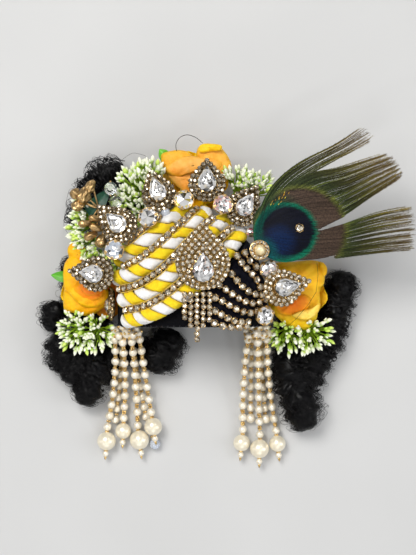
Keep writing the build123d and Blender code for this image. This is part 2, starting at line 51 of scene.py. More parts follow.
# ---------------------------------------------------------------- camera
CAM = (-6.7, 9.7, 700.0)
cam_data = bpy.data.cameras.new("camera")
cam_data.sensor_fit = "VERTICAL"
cam_data.sensor_height = 36.0
cam_data.lens = 108.6
cam_data.clip_start = 0.01
cam_data.clip_end = 10.0
camera = bpy.data.objects.new("camera", cam_data)
camera.location = tuple(c * MM for c in CAM)
bpy.context.scene.collection.objects.link(camera)
bpy.context.scene.camera = camera


# ---------------------------------------------------------------- mesh gathering
class Soup:
    """One joined mesh gathered from many small shapes, in millimetres."""

    def __init__(self):
        self.v, self.l, self.s, self.m, self.k, self.t = [], [], [], [], [], []
        self.n = 0

    def add(self, verts, faces, mat=0, smooth=True, tint=(1.0, 1.0, 1.0)):
        verts = np.asarray(verts, float).reshape(-1, 3)
        if isinstance(faces, np.ndarray):
            loops, sizes = faces.ravel(), np.full(len(faces), faces.shape[1])
        else:
            loops = np.array([i for f in faces for i in f], int)
            sizes = np.array([len(f) for f in faces], int)
        count = len(sizes)
        self.v.append(verts)
        self.l.append(loops + self.n)
        self.s.append(sizes)
        self.m.append(np.broadcast_to(np.asarray(mat, int), (count,)))
        self.k.append(np.broadcast_to(np.asarray(smooth, bool), (count,)))
        self.t.append(np.broadcast_to(np.asarray(tint, float), (len(verts), 3)))
        self.n += len(verts)

    def arrays(self):
        return tuple(np.concatenate(x) for x in (self.v, self.l, self.s, self.m, self.k, self.t))

    def stamp(self, shape, at, axes, scale, tint=None):
        """Copies of a shape: at (N,3), axes (N,3,3) with x, y, z as columns."""
        v, l, s, m, k, t = shape.arrays()
        at = np.asarray(at, float).reshape(-1, 3)
        count = len(at)
        axes = np.broadcast_to(np.asarray(axes, float), (count, 3, 3))
        scale = np.asarray(scale, float)
        if scale.ndim < 2:
            scale = np.repeat(np.broadcast_to(scale, (count,))[:, None], 3, 1)
        verts = np.einsum("nij,nvj->nvi", axes, v[None] * scale[:, None, :]) + at[:, None]
        loops = l[None] + (np.arange(count) * len(v))[:, None] + self.n
        self.v.append(verts.reshape(-1, 3))
        self.l.append(loops.ravel())
        self.s.append(np.tile(s, count))
        self.m.append(np.tile(m, count))
        self.k.append(np.tile(k, count))
        colour = np.tile(t, (count, 1)).reshape(count, len(v), 3)
        if tint is not None:
            colour = colour * np.broadcast_to(np.asarray(tint, float), (count, 3))[:, None]
        self.t.append(colour.reshape(-1, 3))
        self.n += count * len(v)

    def tris(self):
        return int(sum((s - 2).sum() for s in self.s))


made = {}


def make(name, soup, mats, nodes=()):
    v, l, s, m, k, t = soup.arrays()
    mesh = bpy.data.meshes.new(name)
    mesh.vertices.add(len(v))
    mesh.vertices.foreach_set("co", (v * MM).astype(np.float32).ravel())
    mesh.loops.add(len(l))
    mesh.loops.foreach_set("vertex_index", l.astype(np.int32))
    mesh.polygons.add(len(s))
    starts = np.concatenate(([0], np.cumsum(s)[:-1]))
    mesh.polygons.foreach_set("loop_start", starts.astype(np.int32))
    mesh.polygons.foreach_set("material_index", m.astype(np.int32))
    mesh.polygons.foreach_set("use_smooth", k)
    for mat in mats:
        mesh.materials.append(mat)
    mesh.update(calc_edges=True)
    tint = mesh.color_attributes.new("tint", "FLOAT_COLOR", "POINT")
    tint.data.foreach_set(
        "color", np.concatenate((t, np.ones((len(t), 1))), 1).astype(np.float32).ravel()
    )
    mesh.validate()
    obj = bpy.data.objects.new(name, mesh)
    bpy.context.scene.collection.objects.link(obj)
    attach(obj, "root")
    if nodes:
        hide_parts(*nodes)
    made[name] = soup.tris()
    return obj


def axes_from(normal, along):
    """Right-handed axes: z is normal, x is along made square to it."""
    normal = unit(np.atleast_2d(normal))
    along = np.broadcast_to(np.atleast_2d(np.asarray(along, float)), normal.shape)
    x = unit(along - normal * (along * normal).sum(-1, keepdims=True))
    return np.stack((x, np.cross(normal, x), normal), -1)


def resample(points, step=None, count=None, closed=False, phase=0.0):
    """Even points along a polyline, with its tangents."""
    p = np.asarray(points, float)
    if closed:
        p = np.vstack((p, p[:1]))
    d = np.r_[0.0, np.cumsum(np.linalg.norm(np.diff(p, axis=0), axis=1))]
    total = d[-1]
    if count is None:
        count = max(1, round(total / step)) + (0 if closed else 1)
    if closed:
        at = (np.arange(count) + phase) * total / count
    else:
        at = np.linspace(0.0, total, count)
    q = np.stack([np.interp(at, d, p[:, k]) for k in range(p.shape[1])], -1)
    eps = total * 0.004
    hi = np.stack([np.interp(np.minimum(at + eps, total), d, p[:, k]) for k in range(p.shape[1])], -1)
    lo = np.stack([np.interp(np.maximum(at - eps, 0.0), d, p[:, k]) for k in range(p.shape[1])], -1)
    return q, unit(hi - lo)


def grid_faces(rows, cols, wrap=False):
    a = np.arange(rows * cols).reshape(rows, cols)
    if wrap:
        a = np.concatenate((a, a[:, :1]), 1)
    return np.stack((a[:-1, :-1], a[:-1, 1:], a[1:, 1:], a[1:, :-1]), -1).reshape(-1, 4)


def tube(soup, points, radius, sides=6, mat=0, tint=(1, 1, 1), caps=True):
    p = np.asarray(points, float)
    t = unit(np.gradient(p, axis=0))
    ref = np.array([0.0, 0.0, 1.0])
    n = np.cross(t, ref)
    bad = np.linalg.norm(n, axis=1) < 0.1
    n[bad] = np.cross(t[bad], [1.0, 0.0, 0.0])
    n = unit(n)
    b = np.cross(t, n)
    a = np.linspace(0, 2 * PI, sides, endpoint=False)
    radius = np.broadcast_to(radius, (len(p),))
    ring = (
        p[:, None]
        + radius[:, None, None] * (np.cos(a)[None, :, None] * n[:, None] + np.sin(a)[None, :, None] * b[:, None])
    )
    if np.ndim(tint) == 2:
        tint = np.repeat(np.asarray(tint, float), sides, 0)
    faces = grid_faces(len(p), sides, True)
    soup.add(ring, faces, mat, True, tint)
    if caps:
        base = soup.n - len(p) * sides
        for k in (0, len(p) - 1):
            loop = [base + k * sides + i for i in range(sides)]
            soup.l.append(np.array(loop if k else loop[::-1]))
            soup.s.append(np.array([sides]))
            soup.m.append(np.array([mat]))
            soup.k.append(np.array([False]))


def ball(sides=16, rings=10, mat=0, smooth=True, tint=(1, 1, 1)):
    """Unit sphere with one vertex at each pole."""
    s = Soup()
    t = np.linspace(0, PI, rings + 1)[1:-1]
    a = np.linspace(0, 2 * PI, sides, endpoint=False)
    ring = np.stack(
        (np.sin(t)[:, None] * np.cos(a), np.sin(t)[:, None] * np.sin(a), np.repeat(np.cos(t)[:, None], sides, 1)), -1
    )
    v = np.vstack((ring.reshape(-1, 3), [[0, 0, 1], [0, 0, -1]]))
    top, low = len(v) - 2, len(v) - 1
    last = (rings - 2) * sides
    faces = [tuple(f[::-1]) for f in grid_faces(rings - 1, sides, True)]
    faces = [(f[0], f[1], f[2], f[3]) for f in faces]
    for i in range(sides):
        j = (i + 1) % sides
        faces.append((top, i, j))
        faces.append((low, last + j, last + i))
    s.add(v, faces, mat, smooth, tint)
    return s


# ---------------------------------------------------------------- materials
def sock(node, name):
    return node.inputs[name]


class Mat:
    """A node material with short names for its common parts."""

    def __init__(self, name, **values):
        self.mat = bpy.data.materials.new(name)
        self.mat.use_nodes = True
        self.tree = self.mat.node_tree
        self.bsdf = next(n for n in self.tree.nodes if n.type == "BSDF_PRINCIPLED")
        for key, value in values.items():
            self.set(key, value)

    def set(self, key, value):
        names = {
            "color": "Base Color",
            "rough": "Roughness",
            "metal": "Metallic",
            "ior": "IOR",
            "spec": "Specular IOR Level",
            "coat": "Coat Weight",
            "coat_rough": "Coat Roughness",
            "sheen": "Sheen Weight",
            "sheen_rough": "Sheen Roughness",
            "sheen_tint": "Sheen Tint",
            "trans": "Transmission Weight",
            "sss": "Subsurface Weight",
            "sss_scale": "Subsurface Scale",
            "sss_radius": "Subsurface Radius",
            "aniso": "Anisotropic",
        }
        if key in ("color", "sheen_tint") and len(value) == 3:
            value = (*value, 1.0)
        sock(self.bsdf, names[key]).default_value = value

    def node(self, kind, **values):
        n = self.tree.nodes.new(kind)
        for key, value in values.items():
            if key in n.inputs:
                n.inputs[key].default_value = value
            else:
                setattr(n, key, value)
        return n

    def link(self, a, b):
        self.tree.links.new(a, b)

    def coords(self, scale=(1, 1, 1), turn=(0, 0, 0)):
        """Object coordinates in millimetres, stretched by scale."""
        c = self.node("ShaderNodeTexCoord")
        m = self.node("ShaderNodeMapping")
        m.inputs["Scale"].default_value = tuple(1000.0 * s for s in scale)
        m.inputs["Rotation"].default_value = turn
        self.link(c.outputs["Object"], m.inputs["Vector"])
        return m.outputs["Vector"]

    def noise(self, vector, scale, detail=3.0, rough=0.6):
        n = self.node("ShaderNodeTexNoise")
        n.inputs["Scale"].default_value = scale
        n.inputs["Detail"].default_value = detail
        n.inputs["Roughness"].default_value = rough
        self.link(vector, n.inputs["Vector"])
        return n.outputs["Fac"]

    def ramp(self, fac, stops):
        n = self.node("ShaderNodeValToRGB")
        while len(n.color_ramp.elements) < len(stops):
            n.color_ramp.elements.new(0.5)
        for e, (pos, colour) in zip(n.color_ramp.elements, stops):
            e.position = pos
            e.color = (*colour, 1.0)
        self.link(fac, n.inputs["Fac"])
        return n.outputs["Color"]

    def map(self, fac, lo, hi, to_lo, to_hi):
        n = self.node("ShaderNodeMapRange")
        for key, value in zip(("From Min", "From Max", "To Min", "To Max"), (lo, hi, to_lo, to_hi)):
            n.inputs[key].default_value = value
        self.link(fac, n.inputs["Value"])
        return n.outputs["Result"]

    def mix(self, a, b, fac, how="MIX"):
        n = self.node("ShaderNodeMix")
        n.data_type = "RGBA"
        n.blend_type = how
        for value, index in ((fac, 0), (a, 6), (b, 7)):
            if hasattr(value, "links"):
                self.link(value, n.inputs[index])
            elif index == 0:
                n.inputs[0].default_value = value
            else:
                n.inputs[index].default_value = (*value, 1.0)
        return n.outputs[2]

    def tint(self):
        n = self.node("ShaderNodeVertexColor")
        n.layer_name = "tint"
        return n.outputs["Color"]

    def to(self, key, out):
        names = {"color": "Base Color", "rough": "Roughness"}
        self.link(out, sock(self.bsdf, names[key]))

    def bump(self, height, distance, strength=1.0):
        n = self.node("ShaderNodeBump")
        n.inputs["Distance"].default_value = distance * MM
        n.inputs["Strength"].default_value = strength
        self.link(height, n.inputs["Height"])
        self.link(n.outputs["Normal"], sock(self.bsdf, "Normal"))
        return n


def gold_material(name, base, dark, rough=0.26):
    m = Mat(name, metal=1.0, rough=rough)
    n = m.noise(m.coords(), 0.9, 4.0)
    m.to("color", m.mix(m.ramp(n, [(0.30, dark), (0.62, base)]), m.tint(), 1.0, "MULTIPLY"))
    m.to("rough", m.map(n, 0.3, 0.7, rough + 0.14, rough - 0.06))
    m.bump(m.noise(m.coords(), 3.0, 2.0), 0.05, 0.35)
    return m.mat


GOLD = gold_material("claw_gold", (0.80, 0.55, 0.24), (0.34, 0.21, 0.08), 0.28)
GOLD_PALE = gold_material("claw_pale", (0.60, 0.43, 0.21), (0.20, 0.13, 0.055), 0.30)
# brooch back plates: gold coloured very dark, painted shade in the gaps between their stones
GOLD_BACK_SHADED = gold_material("gold_back_shaded", (0.26, 0.165, 0.058), (0.070, 0.043, 0.015), 0.42)
GOLD_BACK_DEEP_SHADE = gold_material("gold_back_deep_shade", (0.070, 0.047, 0.021), (0.016, 0.011, 0.005), 0.45)
SEED_GOLD = gold_material("seed_gold", (0.86, 0.62, 0.27), (0.52, 0.33, 0.11), 0.26)


def stone_material(name, base, dark, coat=1.0):
    """Small foil-backed stone: its facets mirror the room through clear glass."""
    m = Mat(name, metal=0.48, rough=0.12, coat=coat, coat_rough=0.02)
    n = m.noise(m.coords(), 0.55, 2.0)
    m.to("color", m.mix(m.ramp(n, [(0.36, dark), (0.60, base)]), m.tint(), 1.0, "MULTIPLY"))
    m.bump(m.noise(m.coords(), 2.2, 1.0), 0.02, 0.25)
    return m.mat


PAVE = stone_material("pave_stone", (1.0, 0.95, 0.86), (0.80, 0.72, 0.58))
PAVE_CLEAR = stone_material("pave_clear", (0.72, 0.66, 0.57), (0.40, 0.35, 0.28))
# painted shade: a darker copy of the pave for the two brooches whose tilted seats face the key light
PAVE_SHADED = stone_material("pave_shaded", (0.52, 0.47, 0.39), (0.26, 0.22, 0.17), 0.45)


def crystal_material():
    """Big cut stone: each facet carries its own share of the mirrored room as a painted reflection in its tint."""
    m = Mat("cut_crystal", metal=0.45, rough=0.06, coat=1.0, coat_rough=0.02, spec=0.6)
    n = m.noise(m.coords(), 0.7, 2.0)
    m.to("color", m.mix(m.ramp(n, [(0.35, (0.86, 0.87, 0.90)), (0.60, (1.0, 1.0, 1.0))]), m.tint(), 1.0, "MULTIPLY"))
    m.bump(m.noise(m.coords(), 1.6, 1.0), 0.015, 0.2)
    return m.mat


CRYSTAL = crystal_material()


def glass_material(name, colour=(1, 1, 1), ior=1.52, rough=0.0):
    m = Mat(name, color=colour, trans=1.0, ior=ior)
    m.to("rough", m.map(m.noise(m.coords(), 0.8, 1.0), 0.3, 0.7, rough, rough + 0.015))
    return m.mat


GLASS = glass_material("clear_crystal")
GLASS_BEAD = glass_material("clear_bead", (0.96, 0.98, 1.0), 1.45, 0.02)


def pearl_material(name, light, dark):
    m = Mat(name, metal=0.26, rough=0.30, coat=0.6, coat_rough=0.17, spec=0.55)
    n = m.noise(m.coords(), 0.5, 3.0)
    m.to("color", m.mix(m.ramp(n, [(0.32, dark), (0.62, light)]), m.tint(), 1.0, "MULTIPLY"))
    m.bump(m.noise(m.coords(), 2.5, 3.0), 0.015, 0.12)
    return m.mat


PEARL = pearl_material("pearl_cream", (0.93, 0.87, 0.74), (0.84, 0.74, 0.56))
MILKY = Mat("milky_bead", color=(0.80, 0.86, 0.96), rough=0.12, trans=0.45, coat=0.6, coat_rough=0.04)
MILKY.bump(MILKY.noise(MILKY.coords(), 0.8, 2.0), 0.02, 0.2)
MILKY = MILKY.mat
PEARL_BIG = pearl_material("pearl_big", (0.92, 0.85, 0.68), (0.88, 0.79, 0.60))
PEARL_GOLD = pearl_material("pearl_golden", (0.93, 0.80, 0.50), (0.84, 0.66, 0.34))


def cloth_material(name, light, dark, sheen=0.35, rough=0.62):
    """Soft satin-faced cotton: fine cross weave, long creases, a little sheen; its colour is painted darker in the
    hollows of the creases, as shade.
    """
    m = Mat(name, rough=rough, sheen=sheen, sheen_rough=0.45, spec=0.35)
    p = m.coords()
    crease_and_shade = m.noise(m.coords((1.0, 1.0, 1.0)), 0.55, 4.0)
    # painted shade: the colour goes darker and warmer where the crease bump is low
    m.to("color", m.mix(m.ramp(crease_and_shade, [(0.28, dark), (0.56, light)]), m.tint(), 1.0, "MULTIPLY"))
    weave_a = m.node("ShaderNodeTexWave")
    weave_a.inputs["Scale"].default_value = 1.1
    weave_a.inputs["Distortion"].default_value = 1.5
    weave_a.inputs["Detail"].default_value = 2.0
    m.link(p, weave_a.inputs["Vector"])
    weave_b = m.node("ShaderNodeTexWave", bands_direction="Y")
    weave_b.inputs["Scale"].default_value = 1.1
    weave_b.inputs["Distortion"].default_value = 1.5
    m.link(p, weave_b.inputs["Vector"])
    add = m.node("ShaderNodeMath", operation="ADD")
    m.link(weave_a.outputs["Fac"], add.inputs[0])
    m.link(weave_b.outputs["Fac"], add.inputs[1])
    add2 = m.node("ShaderNodeMath", operation="MULTIPLY_ADD")
    m.link(crease_and_shade, add2.inputs[0])
    add2.inputs[1].default_value = 5.0
    m.link(add.outputs[0], add2.inputs[2])
    m.bump(add2.outputs[0], 0.09, 0.7)
    return m.mat


CLOTH_YELLOW = cloth_material("rope_yellow", (1.0, 0.77, 0.010), (1.0, 0.60, 0.001), 0.08)
CLOTH_WHITE = cloth_material("rope_white", (0.98, 0.975, 0.96), (0.88, 0.86, 0.83), 0.08)


def felt_material():
    m = Mat("black_felt", rough=0.95, sheen=0.02, sheen_rough=0.7, spec=0.0)
    n = m.noise(m.coords(), 2.2, 5.0, 0.7)
    m.to("color", m.ramp(n, [(0.3, (0.0015, 0.0015, 0.002)), (0.7, (0.007, 0.007, 0.009))]))
    m.bump(n, 0.25, 0.8)
    return m.mat


def velvet_material():
    m = Mat("black_velvet", rough=0.9, sheen=0.04, sheen_rough=0.35, spec=0.0)
    n = m.noise(m.coords((1, 1, 1)), 0.35, 4.0)
    fine = m.noise(m.coords(), 6.0, 3.0, 0.8)
    m.to("color", m.ramp(n, [(0.3, (0.002, 0.002, 0.004)), (0.72, (0.014, 0.014, 0.020))]))
    m.bump(fine, 0.12, 0.7)
    return m.mat


FELT = felt_material()
VELVET = velvet_material()


def petal_material():
    m = Mat("petal_cloth", rough=0.50, spec=0.30)
    n = m.noise(m.coords(), 0.38, 5.0, 0.62)
    fine = m.noise(m.coords((1.0, 1.0, 1.0)), 4.5, 2.0)
    m.to("color", m.mix(m.tint(), m.ramp(n, [(0.32, (0.96, 0.80, 0.50)), (0.52, (1.0, 1.0, 1.0)), (0.75, (1.0, 1.05, 1.3))]), 1.0, "MULTIPLY"))
    m.bump(m.mix(n, fine, 0.25), 0.55, 0.9)
    return m.mat


PETAL = petal_material()


def plastic_material(name, rough=0.38, sss=0.1):
    m = Mat(name, rough=rough, spec=0.4)
    n = m.noise(m.coords(), 1.2, 3.0)
    m.to("color", m.mix(m.tint(), m.ramp(n, [(0.3, (0.84, 0.88, 0.66)), (0.6, (1, 1, 1))]), 1.0, "MULTIPLY"))
    m.bump(n, 0.08, 0.4)
    return m.mat


BUD = plastic_material("bud_plastic")
LEAF = plastic_material("leaf_wax", 0.42, 0.0)


def feather_material():
    m = Mat("feather_barbs", rough=0.45, spec=0.10)
    n = m.noise(m.coords(), 1.6, 3.0)
    m.to("color", m.mix(m.tint(), m.ramp(n, [(0.34, (0.50, 0.52, 0.55)), (0.60, (1.15, 1.15, 1.1))]), 1.0, "MULTIPLY"))
    m.bump(m.noise(m.coords(), 5.0, 2.0), 0.06, 0.4)
    return m.mat


FEATHER = feather_material()


def hair_material():
    m = Mat("black_hair", rough=0.33, spec=0.15)
    n = m.noise(m.coords(), 0.5, 3.0)
    m.to("color", m.mix(m.tint(), m.ramp(n, [(0.3, (0.55, 0.55, 0.6)), (0.65, (1, 1, 1))]), 1.0, "MULTIPLY"))
    m.bump(m.noise(m.coords(), 4.0, 2.0), 0.05, 0.4)
    return m.mat


HAIR = hair_material()

# ---------------------------------------------------------------- the crown's own sizes
CAP_X, CAP_Z = -13.5, 19.0
CAP_HALF_W, CAP_HALF_H, CAP_SIDE_R = 30.0, 20.0, 15.0
CAP_RIM_Y, CAP_TOP_Y = -10.0, 31.0
ROPE_R, ROPE_LIFT = 3.2, 3.7
CHAIN_LIFT = 6.9
PAD_LIFT = 5.6
SWAG_LIFT = PAD_LIFT + 0.25 + 1.35
SECTIONS = [(-10.0, 1.0), (4.0, 1.0), (14.0, 0.95), (22.0, 0.84), (28.0, 0.66), (31.0, 0.45)]

ROPES = {
    "rope_1": ((-43.2, 16.1), (-32.0, 22.0), (-22.8, 31.2), (-13.6, 39.6)),
    "rope_2": ((-43.9, 9.4), (-28.3, 11.0), (-19.1, 26.6), (-5.9, 37.2)),
    "rope_3": ((-42.0, 0.6), (-19.2, 2.2), (-16.7, 23.3), (2.6, 34.1)),
    "rope_4": ((-40.6, -7.3), (-20.2, -5.6), (-4.9, 12.5), (7.3, 28.7)),
}
GROOVES = [
    ((-39.1, 23.7), (-33.5, 28.1), (-29.8, 31.4), (-26.4, 33.9)),
    ((-40.1, 14.2), (-28.6, 18.6), (-20.5, 29.1), (-11.2, 37.2)),
    ((-42.1, 5.1), (-25.2, 6.9), (-17.2, 23.9), (-4.9, 33.4)),
    ((-39.4, -3.2), (-19.8, -0.9), (-10.2, 17.8), (2.6, 29.4)),
]
SWAGS = [
    ((7.9, 19.4), (9.0, 17.2), (10.6, 15.2), (12.3, 13.9)),
    ((4.7, 18.2), (6.4, 13.9), (13.2, 10.1), (13.9, 5.9)),
    ((0.4, 13.8), (4.2, 9.2), (7.8, 2.5), (14.7, 2.8)),
    ((-2.4, 6.8), (2.8, 3.8), (9.6, -3.9), (15.9, 1.2)),
    ((-4.0, 1.8), (0.3, 0.4), (7.5, -6.4), (12.7, -3.5)),
    ((-4.0, -3.3), (-0.4, -5.3), (3.2, -8.4), (9.1, -7.8)),
    ((-4.2, -8.1), (-1.0, -9.6), (2.0, -10.3), (8.6, -9.4)),
]
# name: x, y, z, tip, lean, lean_to, width, length, stone_w, stone_l, shift
BROOCHES = {
    "centre": (-8.8, 15.5, 47.4, 90, 5, 0, 21.7, 26.9, 8.5, 11.6, -3.3),
    "left": (-50.8, 11.1, 34.8, 174, 12, 180, 14.3, 19.1, 7.4, 10.2, 0.6),
    "upper_left": (-41.6, 30.2, 36.5, 138, 14, 140, 14.5, 19.6, 7.2, 10.0, 0.4),
    "top_left": (-26.2, 42.4, 33.2, 110, 14, 100, 13.9, 18.4, 7.0, 10.4, 0.6),
    "top": (-7.1, 46.6, 32.4, 90, 18, 90, 15.0, 18.6, 7.6, 11.0, 0.0),
    "top_right": (7.0, 36.8, 36.1, 57, 13, 30, 14.3, 18.6, 7.2, 10.4, 0.4),
    "right": (22.3, 5.5, 36.4, 14, 12, 5, 15.0, 19.9, 7.2, 10.8, 0.6),
    "temple": (-45.1, -1.0, 21.6, 184, 78, 180, 13.2, 15.5, 6.0, 7.4, 0.0),
}
# name: x, y, z of the girdle, radius, lean, lean_to
CRYSTALS = {
    "crystal_a": (-30.4, 33.4, 40.6, 3.75, 8, 120),
    "crystal_b": (-43.7, 20.6, 40.6, 3.75, 8, 180),
    "crystal_c": (-16.2, 40.4, 39.8, 3.75, 10, 90),
    "crystal_d": (-0.8, 38.6, 41.1, 3.75, 10, 60),
    "crystal_e": (17.6, 12.8, 35.3, 3.70, 15, 10),
    "crystal_temple": (16.0, -5.4, 38.6, 3.70, 30, 340),
    "crystal_drop": (10.3, 27.6, 35.8, 1.80, 10, 30),
}


def section_scale(y, out):
    span = CAP_TOP_Y - CAP_RIM_Y
    y = CAP_RIM_Y + (np.asarray(y, float) - CAP_RIM_Y) * span / (span + out)
    return np.interp(y, [s[0] for s in SECTIONS], [s[1] for s in SECTIONS])


def front_z(x, y, out):
    """Height of the front of the skin this far outside the felt."""
    x = np.asarray(x, float)
    out = np.asarray(out, float)
    k = section_scale(y, out)
    a, b, r = CAP_HALF_W * k + out, CAP_HALF_H * k + out, CAP_SIDE_R * k + out
    crown = ((a - r) ** 2 + b * b - r * r) / (2 * (b - r))
    across = np.abs(x - CAP_X)
    edge = (a - r) + r * (a - r) / (crown - r)
    top = CAP_Z - (crown - b) + np.sqrt(np.maximum(crown**2 - across**2, 0.01))
    side = CAP_Z + np.sqrt(np.maximum(r * r - (across - a + r) ** 2, 0.01))
    return np.where(across <= edge, top, side)


def bezier(route, t):
    t = np.asarray(t, float)[:, None]
    u = 1 - t
    a, b, c, d = (np.array(p, float) for p in route)
    return u**3 * a + 3 * u * u * t * b + 3 * u * t * t * c + t**3 * d


def over_cap(route, out, count=160):
    p = bezier(route, np.linspace(0, 1, count))
    return np.column_stack((p, front_z(p[:, 0], p[:, 1], out)))


def skin_normal(p, out):
    h = 0.15
    zx = (front_z(p[:, 0] + h, p[:, 1], out) - front_z(p[:, 0] - h, p[:, 1], out)) / (2 * h)
    zy = (front_z(p[:, 0], p[:, 1] + h, out) - front_z(p[:, 0], p[:, 1] - h, out)) / (2 * h)
    zx, zy = np.clip(zx, -2.5, 2.5), np.clip(zy, -2.5, 2.5)
    return unit(np.column_stack((-zx, -zy, np.ones(len(p)))))


def seat_axes(lean, lean_to, tip=0.0):
    t, a, p = (math.radians(v) for v in (lean, lean_to, tip))
    normal = (math.sin(t) * math.cos(a), math.sin(t) * math.sin(a), math.cos(t))
    return axes_from(normal, (math.cos(p), math.sin(p), 0.0))[0]


# ---------------------------------------------------------------- stones in claws
def cup(sides, mat, claws=4, turn=PI / 4):
    """Gold cup round a stone of unit radius, with claws bent over its edge."""
    s = Soup()
    a = np.linspace(0, 2 * PI, sides, endpoint=False)
    rings = [(0.98, -0.08), (1.09, -0.05), (1.02, -0.66)]
    v = np.vstack([np.column_stack((r * np.cos(a), r * np.sin(a), np.full(sides, z))) for r, z in rings])
    s.add(v, grid_faces(3, sides, True)[:, ::-1], mat, False)
    for k in range(claws):
        c = turn + 2 * PI * k / claws
        ex, ey = np.array([math.cos(c), math.sin(c), 0]), np.array([-math.sin(c), math.cos(c), 0])
        w0, w1 = 0.17, 0.11
        pts = []
        for r, z, w in ((1.16, -0.25, w0), (1.12, 0.20, w0), (0.80, 0.40, w1)):
            pts += [ex * r + ey * w + [0, 0, z], ex * r - ey * w + [0, 0, z]]
        for r, z, w in ((0.98, -0.05, w0), (0.76, 0.26, w1)):
            pts += [ex * r + ey * w + [0, 0, z], ex * r - ey * w + [0, 0, z]]
        s.add(
            pts,
            [(0, 2, 3, 1), (2, 4, 5, 3), (0, 6, 8, 4, 2), (1, 3, 5, 9, 7), (4, 8, 9, 5)],
            mat,
            False,
        )
    return s


def joined(*shapes):
    s = Soup()
    for shape in shapes:
        s.stamp(shape, [[0, 0, 0]], np.eye(3), 1.0)
    return s




def pave_gem(rng, sides=8):
    """Small brilliant in its claws, each facet painted with its own reflection: bright, grey or dark."""
    s = Soup()
    a = 2 * PI * np.arange(sides) / sides

    def ring(rad, z, k):
        ang = a + PI * (k % 2) / sides
        return np.column_stack((rad * np.cos(ang), rad * np.sin(ang), np.full(sides, z)))

    top, mid, edge, low = ring(0.54, 0.42, 0), ring(0.82, 0.27, 1), ring(1.0, 0.02, 0), ring(0.97, -0.5, 0)
    peak = np.array([0.0, 0.0, 0.40])
    flat, tone = [], []
    for i in range(sides):
        j = (i + 1) % sides
        flat += [(peak, top[i], top[j]), (top[i], mid[i], top[j]), (top[i], mid[i - 1], mid[i]), (mid[i], edge[j], mid[i] * 0 + mid[j]), (mid[i], edge[i], edge[j])]
        # painted reflection: each facet gets a bright, grey or dark tint for the light it would throw back
        tone += [rng.choice([1.0, 0.80, 0.34], p=[0.45, 0.25, 0.30]), rng.choice([1.0, 0.50, 0.16]), rng.choice([0.90, 0.34, 0.10]), rng.choice([0.75, 0.26, 0.07]), rng.choice([0.70, 0.22, 0.06])]
    tone = np.array(tone)
    tint = np.column_stack((tone, tone * 0.955, tone * 0.86))
    v = np.array(flat).reshape(-1, 3)
    s.add(v, np.arange(len(v)).reshape(-1, 3), 1, False, np.repeat(tint, 3, 0))
    s.add(np.vstack((low, edge)), grid_faces(2, sides, True), 1, False, (0.35, 0.30, 0.22))
    return s


GEM_KINDS = [joined(pave_gem(np.random.default_rng(60 + k)), cup(8, 0, 4)) for k in range(7)]


def gems(soup, rng, at, axes, radius, tilt=0.10):
    """Stones in claws, each tilted a little its own way."""
    at = np.asarray(at, float)
    n = len(at)
    wob = rng.normal(0, tilt, (n, 2))
    normal = axes[:, :, 2] + axes[:, :, 0] * wob[:, :1] + axes[:, :, 1] * wob[:, 1:]
    spin = rng.normal(0, 0.15, (n, 1))
    along = axes[:, :, 0] + axes[:, :, 1] * spin
    ax = axes_from(normal, along)
    size = radius * rng.uniform(0.97, 1.03, n)
    light = (0.84 + 0.16 * rng.random((n, 1))) * np.array([1.0, 0.985, 0.96])
    kind = rng.integers(len(GEM_KINDS), size=n)
    for k, shape in enumerate(GEM_KINDS):
        pick = kind == k
        if pick.any():
            soup.stamp(shape, at[pick], ax[pick], size[pick], light[pick])


# ---------------------------------------------------------------- paved brooches
def teardrop(width, length, inset=0.0, point=0.7, dense=240):
    """Outline about the round end's centre, tip towards +x, starting at the tip."""
    big, far = width / 2, length - width / 2 - point
    phi = math.acos((big - point) / far)
    ra, rb = big - inset, point - inset
    top = []
    if rb > 0:
        for k in np.linspace(0, phi, 9):
            top.append((far + rb * math.cos(k), rb * math.sin(k)))
    else:
        top.append((ra / math.cos(phi), 0.0))
    for k in np.linspace(phi, PI, 60):
        top.append((ra * math.cos(k), ra * math.sin(k)))
    top = np.array(top)
    # the lower flank is the upper one mirrored
    low = top[::-1][1:-1] * [1, -1] if rb <= 0 else top[::-1][1:] * [1, -1]
    return np.vstack((top, low))


def outline_ring(points, count):
    q, t = resample(points, count=count, closed=True)
    return q


def band(soup, rings, mat=0, smooth=False, cap_top=False, cap_low=False, tint=(1, 1, 1)):
    """Surface through closed rings of equal count, each (N,3)."""
    n = len(rings[0])
    base = soup.n
    soup.add(np.vstack(rings), grid_faces(len(rings), n, True), mat, smooth, tint)
    for flag, k in ((cap_low, 0), (cap_top, len(rings) - 1)):
        if flag:
            loop = base + k * n + np.arange(n)
            soup.l.append(loop[::-1] if k == 0 else loop)
            soup.s.append(np.array([n]))
            soup.m.append(np.array([mat]))
            soup.k.append(np.array([False]))


def lift(points2, z, shift=0.0):
    return np.column_stack((points2[:, 0] + shift, points2[:, 1], np.full(len(points2), z)))


def place(local, origin, axes):
    return local @ axes.T + origin


def painted_facet_reflection(rng, bright=0.5, dark=0.16, tone=None):
    """Painted reflection: the colour painted on one facet for the light it would throw back."""
    r = rng.random()
    if r < bright:
        v = rng.uniform(0.80, 1.0)
    elif r < 1 - dark:
        v = rng.uniform(0.38, 0.72)
    else:
        v = rng.uniform(0.06, 0.20)
    c = np.array([v, v * 0.985, v * 0.96])
    if tone is not None and rng.random() < tone[3]:
        c = c * np.array(tone[:3])
    return np.clip(c, 0, 1)


